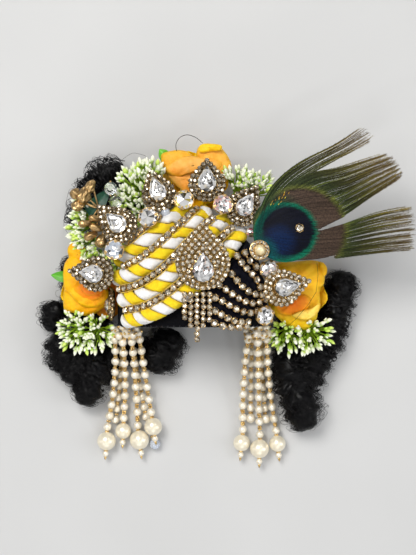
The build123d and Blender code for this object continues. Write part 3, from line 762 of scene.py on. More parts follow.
def facets(soup, rng, rows, origin, axes, mat=0, tone=None, bright=0.5, dark=0.16):
    """Cut stone from the inside out: rows of (places, turned half a step), then its girdle; each facet is painted with
    its own reflection.
    """
    centre = rows[0]
    flat = []
    first = rows[1]
    n = len(first)
    for i in range(n):
        flat.append((centre, first[i], first[(i + 1) % n]))
    for k in range(1, len(rows) - 1):
        inner, outer = rows[k], rows[k + 1]
        for i in range(n):
            j = (i + 1) % n
            if k % 2:
                flat.append((inner[i], outer[i], inner[j]))
                flat.append((inner[i], outer[i - 1], outer[i]))
            else:
                flat.append((inner[i], outer[j], inner[j]))
                flat.append((inner[i], outer[i], outer[j]))
    v = place(np.array(flat).reshape(-1, 3), origin, axes)
    # painted reflections: each facet gets its own bright, grey or dark tint
    tint = np.repeat([painted_facet_reflection(rng, bright, dark, tone) for _ in flat], 3, 0)
    soup.add(v, np.arange(len(v)).reshape(-1, 3), mat, False, tint)
    # girdle and closed back
    edge = rows[-1]
    deep = edge - [0, 0, 0.35]
    keel = edge * [0.45, 0.45, 1] + np.append(edge[:, :2].mean(0) * 0.55, -0.9)
    v = place(np.vstack((keel, deep, edge)), origin, axes)
    base = soup.n
    soup.add(v, grid_faces(3, n, True), mat, False, (0.5, 0.5, 0.5))
    soup.l.append(base + np.arange(n)[::-1])
    soup.s.append(np.array([n]))
    soup.m.append(np.array([mat]))
    soup.k.append(np.array([False]))


def faceted_drop(soup, rng, width, length, origin, axes, sides=12, tone=None):
    girdle = outline_ring(teardrop(width, length), sides * 2)
    cx = (length - width) * 0.30
    centre = np.array([cx, 0.0])
    high = 0.16 * width
    rows = [np.array([cx, 0.0, high * 0.95])]
    for k, (scale, z) in enumerate(((0.24, 0.84), (0.44, 1.0), (0.63, 0.97), (0.82, 0.66), (1.0, 0.12))):
        pick = (2 * np.arange(sides) + (k % 2)) % (2 * sides)
        rows.append(lift(centre + (girdle[pick] - centre) * scale, z * high))
    facets(soup, rng, rows, origin, axes, 0, tone)


def brooch(name, rng):
    x, y, z, tip, lean, lean_to, width, length, stone_w, stone_l, shift = BROOCHES[name]
    axes = seat_axes(lean, lean_to, tip)
    origin = np.array([x, y, z])
    s = Soup()
    big = name == "centre"
    # back plate with a rolled edge
    out = outline_ring(teardrop(width, length, 0.25), 96)
    inn = outline_ring(teardrop(width, length, 0.55), 96)
    band(
        s,
        [place(lift(inn, 0.0), origin, axes), place(lift(out, 0.25), origin, axes), place(lift(out, 0.75), origin, axes), place(lift(inn, 0.95), origin, axes)],
        2,
        False,
        True,
        True,
    )
    # collar round the stone
    cw = 0.24
    rim = []
    for wide, high in ((0.10, 0.9), (0.08, 2.35), (cw - 0.06, 2.50), (cw, 2.3), (cw + 0.10, 0.9)):
        rim.append(place(lift(outline_ring(teardrop(stone_w + 2 * wide, stone_l + 2 * wide), 72), high, shift), origin, axes))
    band(s, rim[::-1], 0, True)
    # small claws of the collar
    spots, tang = resample(teardrop(stone_w + 0.5, stone_l + 0.5), count=10 if big else 8, closed=True, phase=0.5)
    claw = Soup()
    claw.add(
        [(-0.1, 0.3, 0), (0.1, 0.3, 0), (-0.16, -0.32, 0), (0.16, -0.32, 0), (-0.12, 0.32, 0.45), (0.12, 0.32, 0.45), (-0.2, -0.36, 0.28), (0.2, -0.36, 0.28)],
        [(0, 2, 3, 1), (4, 5, 7, 6), (0, 4, 6, 2), (1, 3, 7, 5), (0, 1, 5, 4), (2, 6, 7, 3)],
        0,
        False,
    )
    local = lift(spots, 2.45, shift)
    out_dir = np.column_stack((tang[:, 1], -tang[:, 0], np.zeros(len(tang))))
    ax = axes_from(np.repeat([[0.0, 0.0, 1.0]], len(local), 0), np.column_stack((tang, np.zeros(len(tang)))))
    s.stamp(claw, place(local, origin, axes), np.einsum("ij,njk->nik", axes, ax), 1.15)
    # rows of stones: along the rim, round the big stone, then the room between
    stone = outline_ring(teardrop(stone_w + 0.9, stone_l + 0.9), 90) + [shift, 0]
    halo = teardrop(stone_w + 2.75, stone_l + 2.75) + [shift, 0]
    r = 0.90 if big else 0.92
    placed = np.zeros((0, 2))

    def row(curve, high, apart, pitch=2.16):
        nonlocal placed
        q, t = resample(curve, step=pitch, closed=True)
        keep = np.ones(len(q), bool)
        if len(placed):
            keep &= np.linalg.norm(q[:, None] - placed[None], axis=2).min(1) > apart
        keep &= ~points_in(q, stone) & (np.linalg.norm(q[:, None] - stone[None], axis=2).min(1) > 0.6)
        q, t = q[keep], t[keep]
        if len(q) == 0:
            return
        placed = np.vstack((placed, q))
        ax = axes_from(np.repeat([[0.0, 0.0, 1.0]], len(q), 0), np.column_stack((t, np.zeros(len(t)))))
        gems(s, rng, place(lift(q, high), origin, axes), np.einsum("ij,njk->nik", axes, ax), r)

    if big:
        row(teardrop(width, length, 0.92), 1.15, 0.0)
        row(halo, 2.05, 1.6)
        for inset, high in ((2.98, 1.55), (4.9, 1.8), (6.8, 1.9), (8.7, 1.9)):
            row(teardrop(width, length, inset), high, 1.66)
    else:
        row(teardrop(width, length, 0.82), 1.15, 0.0)
        row(teardrop(width, length, 2.52), 1.55, 1.52, 2.05)
        row(teardrop(width, length, 4.1), 1.6, 1.52, 2.0)
    # small stones in the room that is left
    field = outline_ring(teardrop(width, length, 0.95), 90)
    gx, gy = np.meshgrid(np.arange(-width, length, 0.22), np.arange(-width / 2, width / 2, 0.22))
    grid = np.column_stack((gx.ravel(), gy.ravel()))
    grid = grid[points_in(grid, field) & ~points_in(grid, stone)]
    grid = grid[np.linalg.norm(grid[:, None] - stone[None], axis=2).min(1) > 0.62]
    extra = []
    for _ in range(60):
        if len(grid) == 0:
            break
        near = np.linalg.norm(grid[:, None] - placed[None], axis=2).min(1)
        grid, near = grid[near > 1.42], near[near > 1.42]
        if len(grid) == 0:
            break
        q = grid[np.argmin(near)]
        placed = np.vstack((placed, q))
        extra.append(q)
    if extra:
        extra = np.array(extra)
        ax = axes_from(np.repeat([[0.0, 0.0, 1.0]], len(extra), 0), np.array([[1.0, 0.3, 0.0]]))
        gems(s, rng, place(lift(extra, 1.5), origin, axes), np.einsum("ij,njk->nik", axes, ax), 0.70)
    golden = name in ("centre", "right")
    # painted shade: dark back plates between the stones, and darker pave on the upper-left and top-left brooches
    mats = [GOLD, PAVE, GOLD_BACK_SHADED] if golden else [GOLD_PALE, PAVE_SHADED if name in ("upper_left", "top_left") else PAVE_CLEAR, GOLD_BACK_DEEP_SHADE]
    make("paved_" + name, s, mats, ["brooch_" + name])
    # the big faceted stone
    s = Soup()
    base = place(np.array([[shift, 0, 2.62]]), origin, axes)[0]
    # painted reflection: some facets of the drop carry a warm or reddish reflected tone
    faceted_drop(s, rng, stone_w, stone_l, base, axes, 14 if big else 12, (1.0, 0.72, 0.60, 0.12) if name in ("centre", "top_right") else (1.0, 0.92, 0.78, 0.15))
    make("drop_stone_" + name, s, [CRYSTAL], ["stone_" + name])


def points_in(points, polygon):
    """Which points lie inside a closed polygon."""
    x, y = points[:, 0][:, None], points[:, 1][:, None]
    ax, ay = polygon[:, 0][None], polygon[:, 1][None]
    bx, by = np.roll(polygon[:, 0], -1)[None], np.roll(polygon[:, 1], -1)[None]
    cross = ((ay > y) != (by > y)) & (x < (bx - ax) * (y - ay) / (by - ay + 1e-12) + ax)
    return cross.sum(1) % 2 == 1


for index, key in enumerate(BROOCHES):
    brooch(key, np.random.default_rng(100 + index))


# ---------------------------------------------------------------- round crystals
# painted reflection: colour that some facets are painted with, as if mirrored from beside them, and their share
FACET_REFLECTION_TONES = {
    "crystal_a": (1.0, 0.98, 0.92, 0.2),
    "crystal_b": (0.80, 0.88, 1.0, 0.5),
    "crystal_c": (1.0, 0.80, 0.20, 0.35),
    "crystal_d": (1.0, 0.62, 0.60, 0.25),
    "crystal_e": (1.0, 0.80, 0.78, 0.25),
    "crystal_drop": (1.0, 0.25, 0.35, 0.4),
}


def round_crystal(name, rng, rivoli=False):
    x, y, z, r, lean, lean_to = CRYSTALS[name]
    axes = seat_axes(lean, lean_to, 0.0)
    origin = np.array([x, y, z])
    s = Soup()
    n = 12 if rivoli else 9
    spin = rng.uniform(0, 6.28)

    def ring(rad, zz, k):
        ang = spin + 2 * PI * (np.arange(n) + 0.5 * (k % 2)) / n
        return np.column_stack((rad * r * np.cos(ang), rad * r * np.sin(ang), np.full(n, zz * r)))

    if rivoli:
        rows = [np.array([0, 0, 0.36 * r]), ring(0.72, 0.20, 0), ring(1.0, 0.03, 1)]
    else:
        rows = [np.array([0, 0, 0.27 * r]), ring(0.30, 0.24, 0), ring(0.56, 0.30, 1), ring(0.80, 0.20, 0), ring(1.0, 0.03, 1)]
    facets(s, rng, rows, origin, axes, 0, FACET_REFLECTION_TONES.get(name), 0.68 if rivoli else 0.58, 0.16 if rivoli else 0.12)
    # thin gold cup with claws
    c = joined(cup(14, 2, 6 if r > 3 else 4, 0.3))
    v, l, sz, m, k, t = c.arrays()
    v = v * [r * 1.0, r * 1.0, r * 0.62]
    v[:, :2] *= np.where(np.hypot(v[:, 0], v[:, 1]) > 1.06 * r, 0.965, 1.0)[:, None]
    faces, at = [], 0
    for size in sz:
        faces.append(tuple(l[at : at + size]))
        at += size
    s.add(place(v + [0, 0, 0.0], origin, axes), faces, m, k)
    make("round_" + name, s, [CRYSTAL, CRYSTAL, GOLD], [name])


for index, key in enumerate(CRYSTALS):
    round_crystal(key, np.random.default_rng(200 + index), key in ("crystal_c", "crystal_a"))


def bead(name, centre, r, facets):
    s = Soup()
    if facets:
        shape = ball(10, 8, 0, False)
    else:
        shape = ball(28, 18, 0, True)
    s.stamp(shape, [centre], np.eye(3), r)
    hole = np.array([[centre[0], centre[1] + k * r, centre[2]] for k in (-1.12, -0.9, 0.9, 1.12)])
    tube(s, hole[:2], 0.35, 8, 1)
    tube(s, hole[2:], 0.35, 8, 1)
    make("clear_" + name, s, [GLASS_BEAD, GOLD], [name])


s = Soup()
for at, size in (((-23.6, 35.6, 34.6), 1.9), ((-38.2, 25.2, 32.6), 1.7), ((-36.0, 28.2, 34.0), 1.8), ((-26.6, 34.4, 34.0), 1.5)):
    s.stamp(ball(20, 12), [at], np.eye(3), size)
make("milky_beads", s, [MILKY])
bead("bead_faceted", (-45.7, 45.3, 30.4), 2.75, True)
bead("bead_glass", (-43.6, 39.9, 31.5), 2.55, False)


# ---------------------------------------------------------------- cup chains
def cup_chain(soup, rng, path, normals, radius, pitch, bar=True, edge=None):
    """Stones in cups linked by small bars, along a path."""
    p, t = resample(path, step=pitch)
    n = np.stack([np.interp(np.linspace(0, 1, len(p)), np.linspace(0, 1, len(normals)), normals[:, k]) for k in range(3)], -1)
    ax = axes_from(n, t)
    n = ax[:, :, 2]
    gems(soup, rng, p + n * 0.25 * radius, ax, radius, tilt=0.12)
    if bar:
        tube(soup, p - n * 0.35 * radius, 0.34 * radius, 5, 0)
    if edge:
        side = ax[:, :, 1]
        for sign in (-1, 1):
            wave = 0.08 * np.sin(np.arange(len(p)) * 1.9)[:, None]
            q, _ = resample(p + side * sign * (edge + wave) - n * 0.55 * radius, count=len(p) * 3)
            tube(soup, q, 0.22, 5, 2)


THREAD_GOLD = cloth_material("gold_thread", (0.95, 0.68, 0.12), (0.62, 0.36, 0.05), 0.2, 0.4)

s = Soup()
for index, route in enumerate(GROOVES):
    path = over_cap(route, CHAIN_LIFT)
    cup_chain(s, np.random.default_rng(300 + index), path, skin_normal(path, CHAIN_LIFT), 1.28, 2.8, edge=1.50)
make("rope_cup_chains", s, [GOLD, PAVE, THREAD_GOLD], ["rope_chains"])

s = Soup()
for index, route in enumerate(SWAGS):
    path = over_cap(route, SWAG_LIFT)
    cup_chain(s, np.random.default_rng(320 + index), path, skin_normal(path, SWAG_LIFT), 1.36, 3.2)
make("velvet_cup_chains", s, [GOLD, PAVE], ["swag_chains"])

# centre fringe: five short chains of stones under the middle brooch
s = Soup()
rng = np.random.default_rng(340)
for x, end_y in ((-15.9, -6.9), (-13.45, -10.0), (-11.0, -15.5), (-8.55, -10.0), (-6.1, -7.7)):
    path = np.array([[x, yy, 46.55 - 0.0 * yy] for yy in np.linspace(3.2, end_y + 1.0, 24)])
    path[:, 0] += 0.12 * np.sin(path[:, 1] * 1.3 + x)
    cup_chain(s, rng, path, np.repeat([[0.0, 0.0, 1.0]], 24, 0), 1.02, 2.35)
make("fringe_chains", s, [GOLD, PAVE], ["centre_fringe"])

# ---------------------------------------------------------------- pearl rosette
rx, ry, rz, rr, lean, lean_to = 13.5, 20.5, 40.5, 4.0, 8, 15
axes = seat_axes(lean, lean_to)
origin = np.array([rx, ry, rz])
s = Soup()
a = np.linspace(0, 2 * PI, 40, endpoint=False)
rings = []
for r, z in ((3.0, -0.5), (3.9, 0.1), (3.95, 0.7), (3.3, 1.0), (2.3, 1.0), (2.25, 1.5), (2.0, 1.5), (1.9, 1.0)):
    rings.append(place(np.column_stack((r * np.cos(a), r * np.sin(a), np.full(40, z))), origin, axes))
band(s, rings, 0, False, True, True)
b = np.linspace(0, 2 * PI, 14, endpoint=False)
spots = np.column_stack((3.12 * np.cos(b), 3.12 * np.sin(b), np.full(14, 1.25)))
ax = axes_from(np.repeat([[0.0, 0.0, 1.0]], 14, 0), np.column_stack((-np.sin(b), np.cos(b), 0 * b)))
gems(s, np.random.default_rng(345), place(spots, origin, axes), np.einsum("ij,njk->nik", axes, ax), 0.68)
make("rosette_ring", s, [GOLD, PAVE], ["rosette"])
s = Soup()
s.stamp(ball(28, 18), [place(np.array([[0, 0, 1.7]]), origin, axes)[0]], np.eye(3), 2.1)
make("rosette_centre_pearl", s, [PEARL_GOLD], ["rosette_pearl"])


# ---------------------------------------------------------------- twisted ropes
# where the colours come to the top along each rope: x, y, colour
LUMPS = {
    "rope_1": [(-39.9, 18.3, "w"), (-35.9, 19.9, "y"), (-31.1, 23.5, "w"), (-25.1, 27.1, "y"), (-21.1, 31.1, "w"), (-16.3, 34.7, "y")],
    "rope_2": [(-43.6, 9.5, "w"), (-41.6, 9.9, "y"), (-38.8, 11.9, "w"), (-34.1, 13.5, "y"), (-29.7, 14.3, "w"), (-24.9, 18.2, "y"), (-21.0, 22.6, "w"), (-17.0, 26.6, "y"), (-13.8, 30.1, "w"), (-9.9, 33.7, "y"), (-7.1, 35.7, "w")],
    "rope_3": [(-40.2, 2.4, "w"), (-36.3, 3.6, "y"), (-31.5, 3.6, "w"), (-25.6, 6.0, "y"), (-22.5, 10.7, "w"), (-20.5, 14.6, "y"), (-3.5, 29.6, "w"), (-1.2, 32.4, "y")],
    "rope_4": [(-35.5, -7.0, "y"), (-33.5, -5.5, "w"), (-29.6, -5.1, "y"), (-23.6, -2.7, "w"), (-20.9, 0.0, "y"), (-17.7, 2.4, "w"), (1.2, 17.8, "y"), (1.6, 22.1, "w"), (4.7, 25.3, "y"), (6.3, 27.6, "w")],
}
HALF_PITCH = 5.3


def twist_along(path, length, lumps):
    """Angle of the yellow ply at each point, so that the colours come up where they should."""
    at, turn = [], []
    for x, y, colour in lumps:
        k = np.argmin(np.hypot(path[:, 0] - x, path[:, 1] - y))
        side = 0 if colour == "y" else 1
        if not at:
            at.append(length[k])
            turn.append(side)
            continue
        gap = max(length[k] - at[-1], 2.4)
        parity = (side - turn[-1]) % 2
        steps = max(1, parity + 2 * round((gap / HALF_PITCH - parity) / 2))
        at.append(at[-1] + gap)
        turn.append(turn[-1] + steps)
    at, turn = np.array(at), np.array(turn, float)
    low = turn[0] - (at[0] + 12.0) / HALF_PITCH
    high = turn[-1] + (length[-1] + 12.0 - at[-1]) / HALF_PITCH
    grid = np.linspace(-12.0, length[-1] + 12.0, 600)
    value = np.interp(grid, np.r_[-12.0, at, length[-1] + 12.0], np.r_[low, turn, high])
    # even out the changes of pitch
    width = 61
    pad = np.r_[value[0] + (np.arange(-30, 0)) * (value[1] - value[0]), value, value[-1] + np.arange(1, 31) * (value[-1] - value[-2])]
    value = np.convolve(pad, np.hanning(width + 2)[1:-1] / np.hanning(width + 2).sum(), "valid")
    return PI * np.interp(length, grid, value)


def half_round(theta, radius=3.30, flat=0.0, c=1.50, p=2.9):
    """Outline of one ply across the rope: a half disc with soft corners."""
    cos, sin = np.cos(theta), np.sin(theta)
    r1 = np.where(cos < -1e-3, (c - flat) / np.maximum(-cos, 1e-3), 1e6)
    r2 = -c * cos + np.sqrt(radius**2 - c * c * sin * sin)
    r = (r1**-p + r2**-p) ** (-1 / p)
    return c + r * cos, r * sin


def twisted_rope(name, route, rng):
    path, tang = resample(over_cap(route, ROPE_LIFT, 240), step=0.40)
    n0 = skin_normal(path, ROPE_LIFT)
    t = unit(tang)
    b = unit(np.cross(t, n0))
    n = np.cross(b, t)
    length = np.r_[0, np.cumsum(np.linalg.norm(np.diff(path, axis=0), axis=1))]
    total = length[-1]
    ends = np.sqrt(np.clip(1 - (1 - np.clip(np.minimum(length, total - length) / 2.6, 0, 1)) ** 2, 0.04, 1))
    s = Soup()
    sides = 30
    theta = np.linspace(0, 2 * PI, sides, endpoint=False)
    spin = twist_along(path, length, LUMPS[name])
    phase = rng.uniform(0, 2 * PI)
    u0, v0 = half_round(theta)
    for ply, start in ((0, 0.0), (1, PI)):
        phi = (start + spin)[:, None]
        ll = length[:, None]
        # soft creases that run with the ply, deeper towards its edges
        fold = (
            0.022 * np.cos(5 * theta[None] + 1.1 * np.sin(ll * 0.5 + phase))
            + 0.018 * np.cos(9 * theta[None] + 1.5 * np.sin(ll * 0.9 + 2.1 * phase + start))
            + 0.012 * np.cos(17 * theta[None] + 2.0 * np.sin(ll * 1.3 + start))
            + 0.012 * np.sin(ll * 3.1 + 3 * np.cos(theta)[None])
        )
        u = 1.50 + (u0[None] - 1.50) * (1 + fold)
        v = v0[None] * (1 + fold)
        # each ply is made a little narrower across
        v = v * 0.985
        u, v = u * ends[:, None], v * ends[:, None]
        cu, su = np.cos(phi), np.sin(phi)
        ring = (
            path[:, None]
            + (u * cu - v * su)[..., None] * n[:, None]
            + (u * su + v * cu)[..., None] * b[:, None]
        )
        # painted shade: each ply is coloured darker and warmer towards the seam where it meets the other ply
        face = np.clip((u0 - 0.2) / 2.2, 0, 1)[None] + 0 * u
        shade = (0.86 + 0.14 * face**0.6)[..., None]
        tint = (shade * np.array([1.0, 0.97, 0.93]) ** (1 - face[..., None])).reshape(-1, 3)
        base = s.n
        s.add(ring, grid_faces(len(path), sides, True), ply, True, tint)
        for k in (0, len(path) - 1):
            loop = base + k * sides + np.arange(sides)
            s.l.append(loop if k else loop[::-1])
            s.s.append(np.array([sides]))
            s.m.append(np.array([ply]))
            s.k.append(np.array([False]))
    obj = make("twisted_" + name, s, [CLOTH_YELLOW, CLOTH_WHITE], [name])


for index, (key, route) in enumerate(ROPES.items()):
    twisted_rope(key, route, np.random.default_rng(400 + index))


# ---------------------------------------------------------------- velvet pad
def velvet_pad():
    beside = []
    for t in np.linspace(0.47, 1.0, 14)[:-1]:
        p, q = bezier(ROPES["rope_4"], [t, t + 0.01])
        d = unit(q - p)
        beside.append((p[0] + d[1] * 4.1, p[1] - d[0] * 4.1))

    def arc(a, m, c, count):
        a, m, c = (complex(*v) for v in (a, m, c))
        w = (c - a) / (m - a)
        centre = (a - c) * (w - abs(w) ** 2) / (2j * w.imag) - a
        centre = -centre
        r = abs(a - centre)
        a0, a1, am = (math.atan2((p - centre).imag, (p - centre).real) for p in (a, c, m))
        if (a1 - a0) % (2 * PI) > (am - a0) % (2 * PI):
            span = (a1 - a0) % (2 * PI)
        else:
            span = -((a0 - a1) % (2 * PI))
        return [(centre.real + r * math.cos(a0 + span * k / count), centre.imag + r * math.sin(a0 + span * k / count)) for k in range(count + 1)]

    outline = beside + [beside[-1]] + arc((10.4, 22.6), (16.8, 15.0), (17.2, -3.0), 16) + arc((17.2, -3.0), (4.0, -12.5), (-13.5, -6.6), 24)
    outline = np.array(outline)
    ahead = np.roll(outline, -1, 0)
    if (outline[:, 0] * ahead[:, 1] - ahead[:, 0] * outline[:, 1]).sum() < 0:
        outline = outline[::-1]
    edge, _ = resample(outline, count=150, closed=True)
    centre = np.array([6.0, 3.5])
    rng = np.random.default_rng(450)
    steps = np.r_[np.linspace(0.02, 0.82, 26), np.linspace(0.85, 1.0, 9)]
    rings = []
    phase = rng.uniform(0, 6.28, 6)
    for f in steps:
        p = centre + (edge - centre) * f
        dist = (1 - f) * np.linalg.norm(edge - centre, axis=1)
        soft = np.sqrt(np.clip(1 - (1 - np.clip(dist / 2.4, 0, 1)) ** 2, 0, 1))
        out = 2.8 + (PAD_LIFT - 0.12 - 2.8) * soft
        pucker = 0.10 * np.sin(p[:, 0] * 0.9 + p[:, 1] * 1.7 + phase[0]) + 0.08 * np.sin(p[:, 0] * 2.1 - p[:, 1] * 0.8 + phase[1])
        out = out + (pucker - 0.12) * soft
        rings.append(np.column_stack((p, front_z(p[:, 0], p[:, 1], out))))
    low = rings[-1].copy()
    low[:, 2] = np.maximum(front_z(low[:, 0], low[:, 1], 0.45), 27.2)
    low[:, :2] = centre + (edge - centre) * 0.995
    rings.append(low)
    s = Soup()
    band(s, rings[::-1], 0, True, True, True)
    obj = make("velvet_cover", s, [VELVET], ["velvet_pad"])


velvet_pad()



# ---------------------------------------------------------------- felt cap
def oval_ring(y, out, floor):
    """One section of the felt, flattened where it lies on its back."""
    k = float(np.interp(y, [row[0] for row in SECTIONS], [row[1] for row in SECTIONS]))
    a, b, r = CAP_HALF_W * k + out, CAP_HALF_H * k + out, CAP_SIDE_R * k + out
    crown = ((a - r) ** 2 + b * b - r * r) / (2 * (b - r))
    side = math.atan2(crown - b, a - r)
    pts = []
    for cx, cz, rad, start, span, count in (
        (a - r, 0.0, r, -side, 2 * side, 34),
        (0.0, b - crown, crown, side, PI - 2 * side, 46),
        (r - a, 0.0, r, PI - side, 2 * side, 34),
        (0.0, crown - b, crown, PI + side, PI - 2 * side, 46),
    ):
        ang = start + span * np.arange(count) / count
        pts.append(np.column_stack((cx + rad * np.cos(ang), cz + rad * np.sin(ang))))
    q = np.vstack(pts)
    return np.column_stack((CAP_X + q[:, 0], np.full(len(q), float(y)), np.maximum(CAP_Z + q[:, 1], floor)))


def felt_cap():
    felt = 2.0
    outer = [oval_ring(y, 0.0, 0.05) for y in np.linspace(CAP_TOP_Y, CAP_RIM_Y + 0.6, 36)]
    edge = []
    for f in np.linspace(0, PI, 9)[1:-1]:
        ring = oval_ring(CAP_RIM_Y, -1.0 + 1.0 * math.cos(f), 0.05 + 1.0 * (1 - math.cos(f)))
        ring[:, 1] = CAP_RIM_Y + 0.6 - 0.6 * math.sin(f)
        edge.append(ring)
    inner = []
    for y in np.linspace(CAP_RIM_Y + 0.6, CAP_TOP_Y, 26):
        ring = oval_ring(y, -felt, felt + 0.05)
        ring[:, 1] = CAP_RIM_Y + 0.6 + (y - CAP_RIM_Y - 0.6) * (CAP_TOP_Y - felt - CAP_RIM_Y) / (CAP_TOP_Y - CAP_RIM_Y)
        inner.append(ring)
    rings = []
    for kind, group in ((-1.0, outer), (0.0, edge), (1.0, inner)):
        for ring in group:
            x, y, z = ring.T
            soft = 0.07 * np.sin(x * 0.55 + y * 0.8) * np.sin(z * 0.4 + y * 0.35) + 0.05 * np.sin(x * 1.7 - z * 1.3 + y * 1.1)
            way = unit(np.column_stack((x - CAP_X, 0 * x, z - CAP_Z)))
            moved = ring + way * (soft - 0.12 * (kind < 0) + 0.08 * (kind > 0))[:, None]
            moved[:, 2] = np.maximum(moved[:, 2], 0.04 if kind < 1 else felt)
            rings.append(moved)
    s = Soup()
    band(s, rings, 0, True, True, True)
    # whip stitches over the rim
    rim = oval_ring(CAP_RIM_Y, -1.0, 1.05)
    spots, tang = resample(rim, step=2.3, closed=True)
    out = unit(spots - [CAP_X, CAP_RIM_Y, CAP_Z])
    for q, t, o in zip(spots, tang, out):
        f = np.linspace(-0.15, PI + 0.15, 9)[:, None]
        around = q + o * 1.12 * np.cos(f) + np.array([0, -1.0, 0]) * (0.62 * np.sin(f) - 0.6) + t * 0.5 * (f / PI - 0.5)
        around[:, 2] = np.maximum(around[:, 2], 0.2)
        tube(s, around, 0.14, 5, 1, (1, 1, 1), False)
    make("felt_cap", s, [FELT, CAP_THREAD], ["cap_shell"])


CAP_THREAD = cloth_material("cap_thread", (0.045, 0.045, 0.055), (0.012, 0.012, 0.016), 0.1, 0.5)
felt_cap()

# ---------------------------------------------------------------- pearl tassels
# name: start, bend, end, top_z, pearl x, y, z, r, own
STRANDS = {
    "tassel_left": [
        ("l1", (-44.4, -15.6), (-44.6, -33.7), (-48.5, -52.4), 20.0, -48.9, -58.3, 3.90, 3.90, True),
        ("l2", (-42.0, -15.0), (-43.0, -33.6), (-45.3, -49.6), 13.0, 0, 0, 0, 0, False),
        ("l3", (-41.3, -16.6), (-40.4, -32.0), (-41.8, -48.8), 22.2, -42.0, -54.15, 3.30, 3.30, True),
        ("l4", (-37.6, -16.4), (-36.6, -31.8), (-35.9, -51.8), 21.6, -35.2, -57.8, 4.05, 4.05, True),
        ("l5", (-34.5, -15.4), (-32.9, -29.9), (-30.3, -46.2), 19.6, -29.4, -52.1, 5.90, 3.70, True),
        ("l6", (-38.2, -15.2), (-35.4, -34.4), (-32.6, -48.4), 13.0, -28.8, -59.6, 2.30, 2.30, False),
    ],
    "tassel_right": [
        ("r1", (9.6, -15.4), (7.3, -33.2), (7.8, -53.5), 20.4, 7.3, -59.1, 3.50, 3.50, True),
        ("r2", (13.4, -16.6), (14.2, -34.0), (14.8, -55.45), 21.8, 14.7, -61.4, 4.60, 3.95, True),
        ("r3", (17.2, -15.4), (18.0, -34.3), (21.6, -53.9), 20.0, 22.2, -59.4, 3.45, 3.45, True),
        ("r4", (11.4, -15.4), (11.0, -31.6), (11.1, -44.6), 13.0, 11.1, -49.0, 2.00, 2.00, False),
        ("r5", (15.4, -15.4), (15.6, -32.0), (17.0, -44.8), 13.0, 17.3, -49.3, 2.00, 2.00, False),
    ],
}
KNOTS = {"tassel_left": (-39.5, -12.9, 23.6, 2.2), "tassel_right": (13.2, -13.0, 23.6, 2.0)}
TIP_R = 1.3
SMALL = ball(16, 10)
LARGE = ball(32, 20)
SEED = ball(7, 5, 1)
THREAD = Mat("nylon_thread", color=(0.75, 0.66, 0.45), rough=0.4).mat


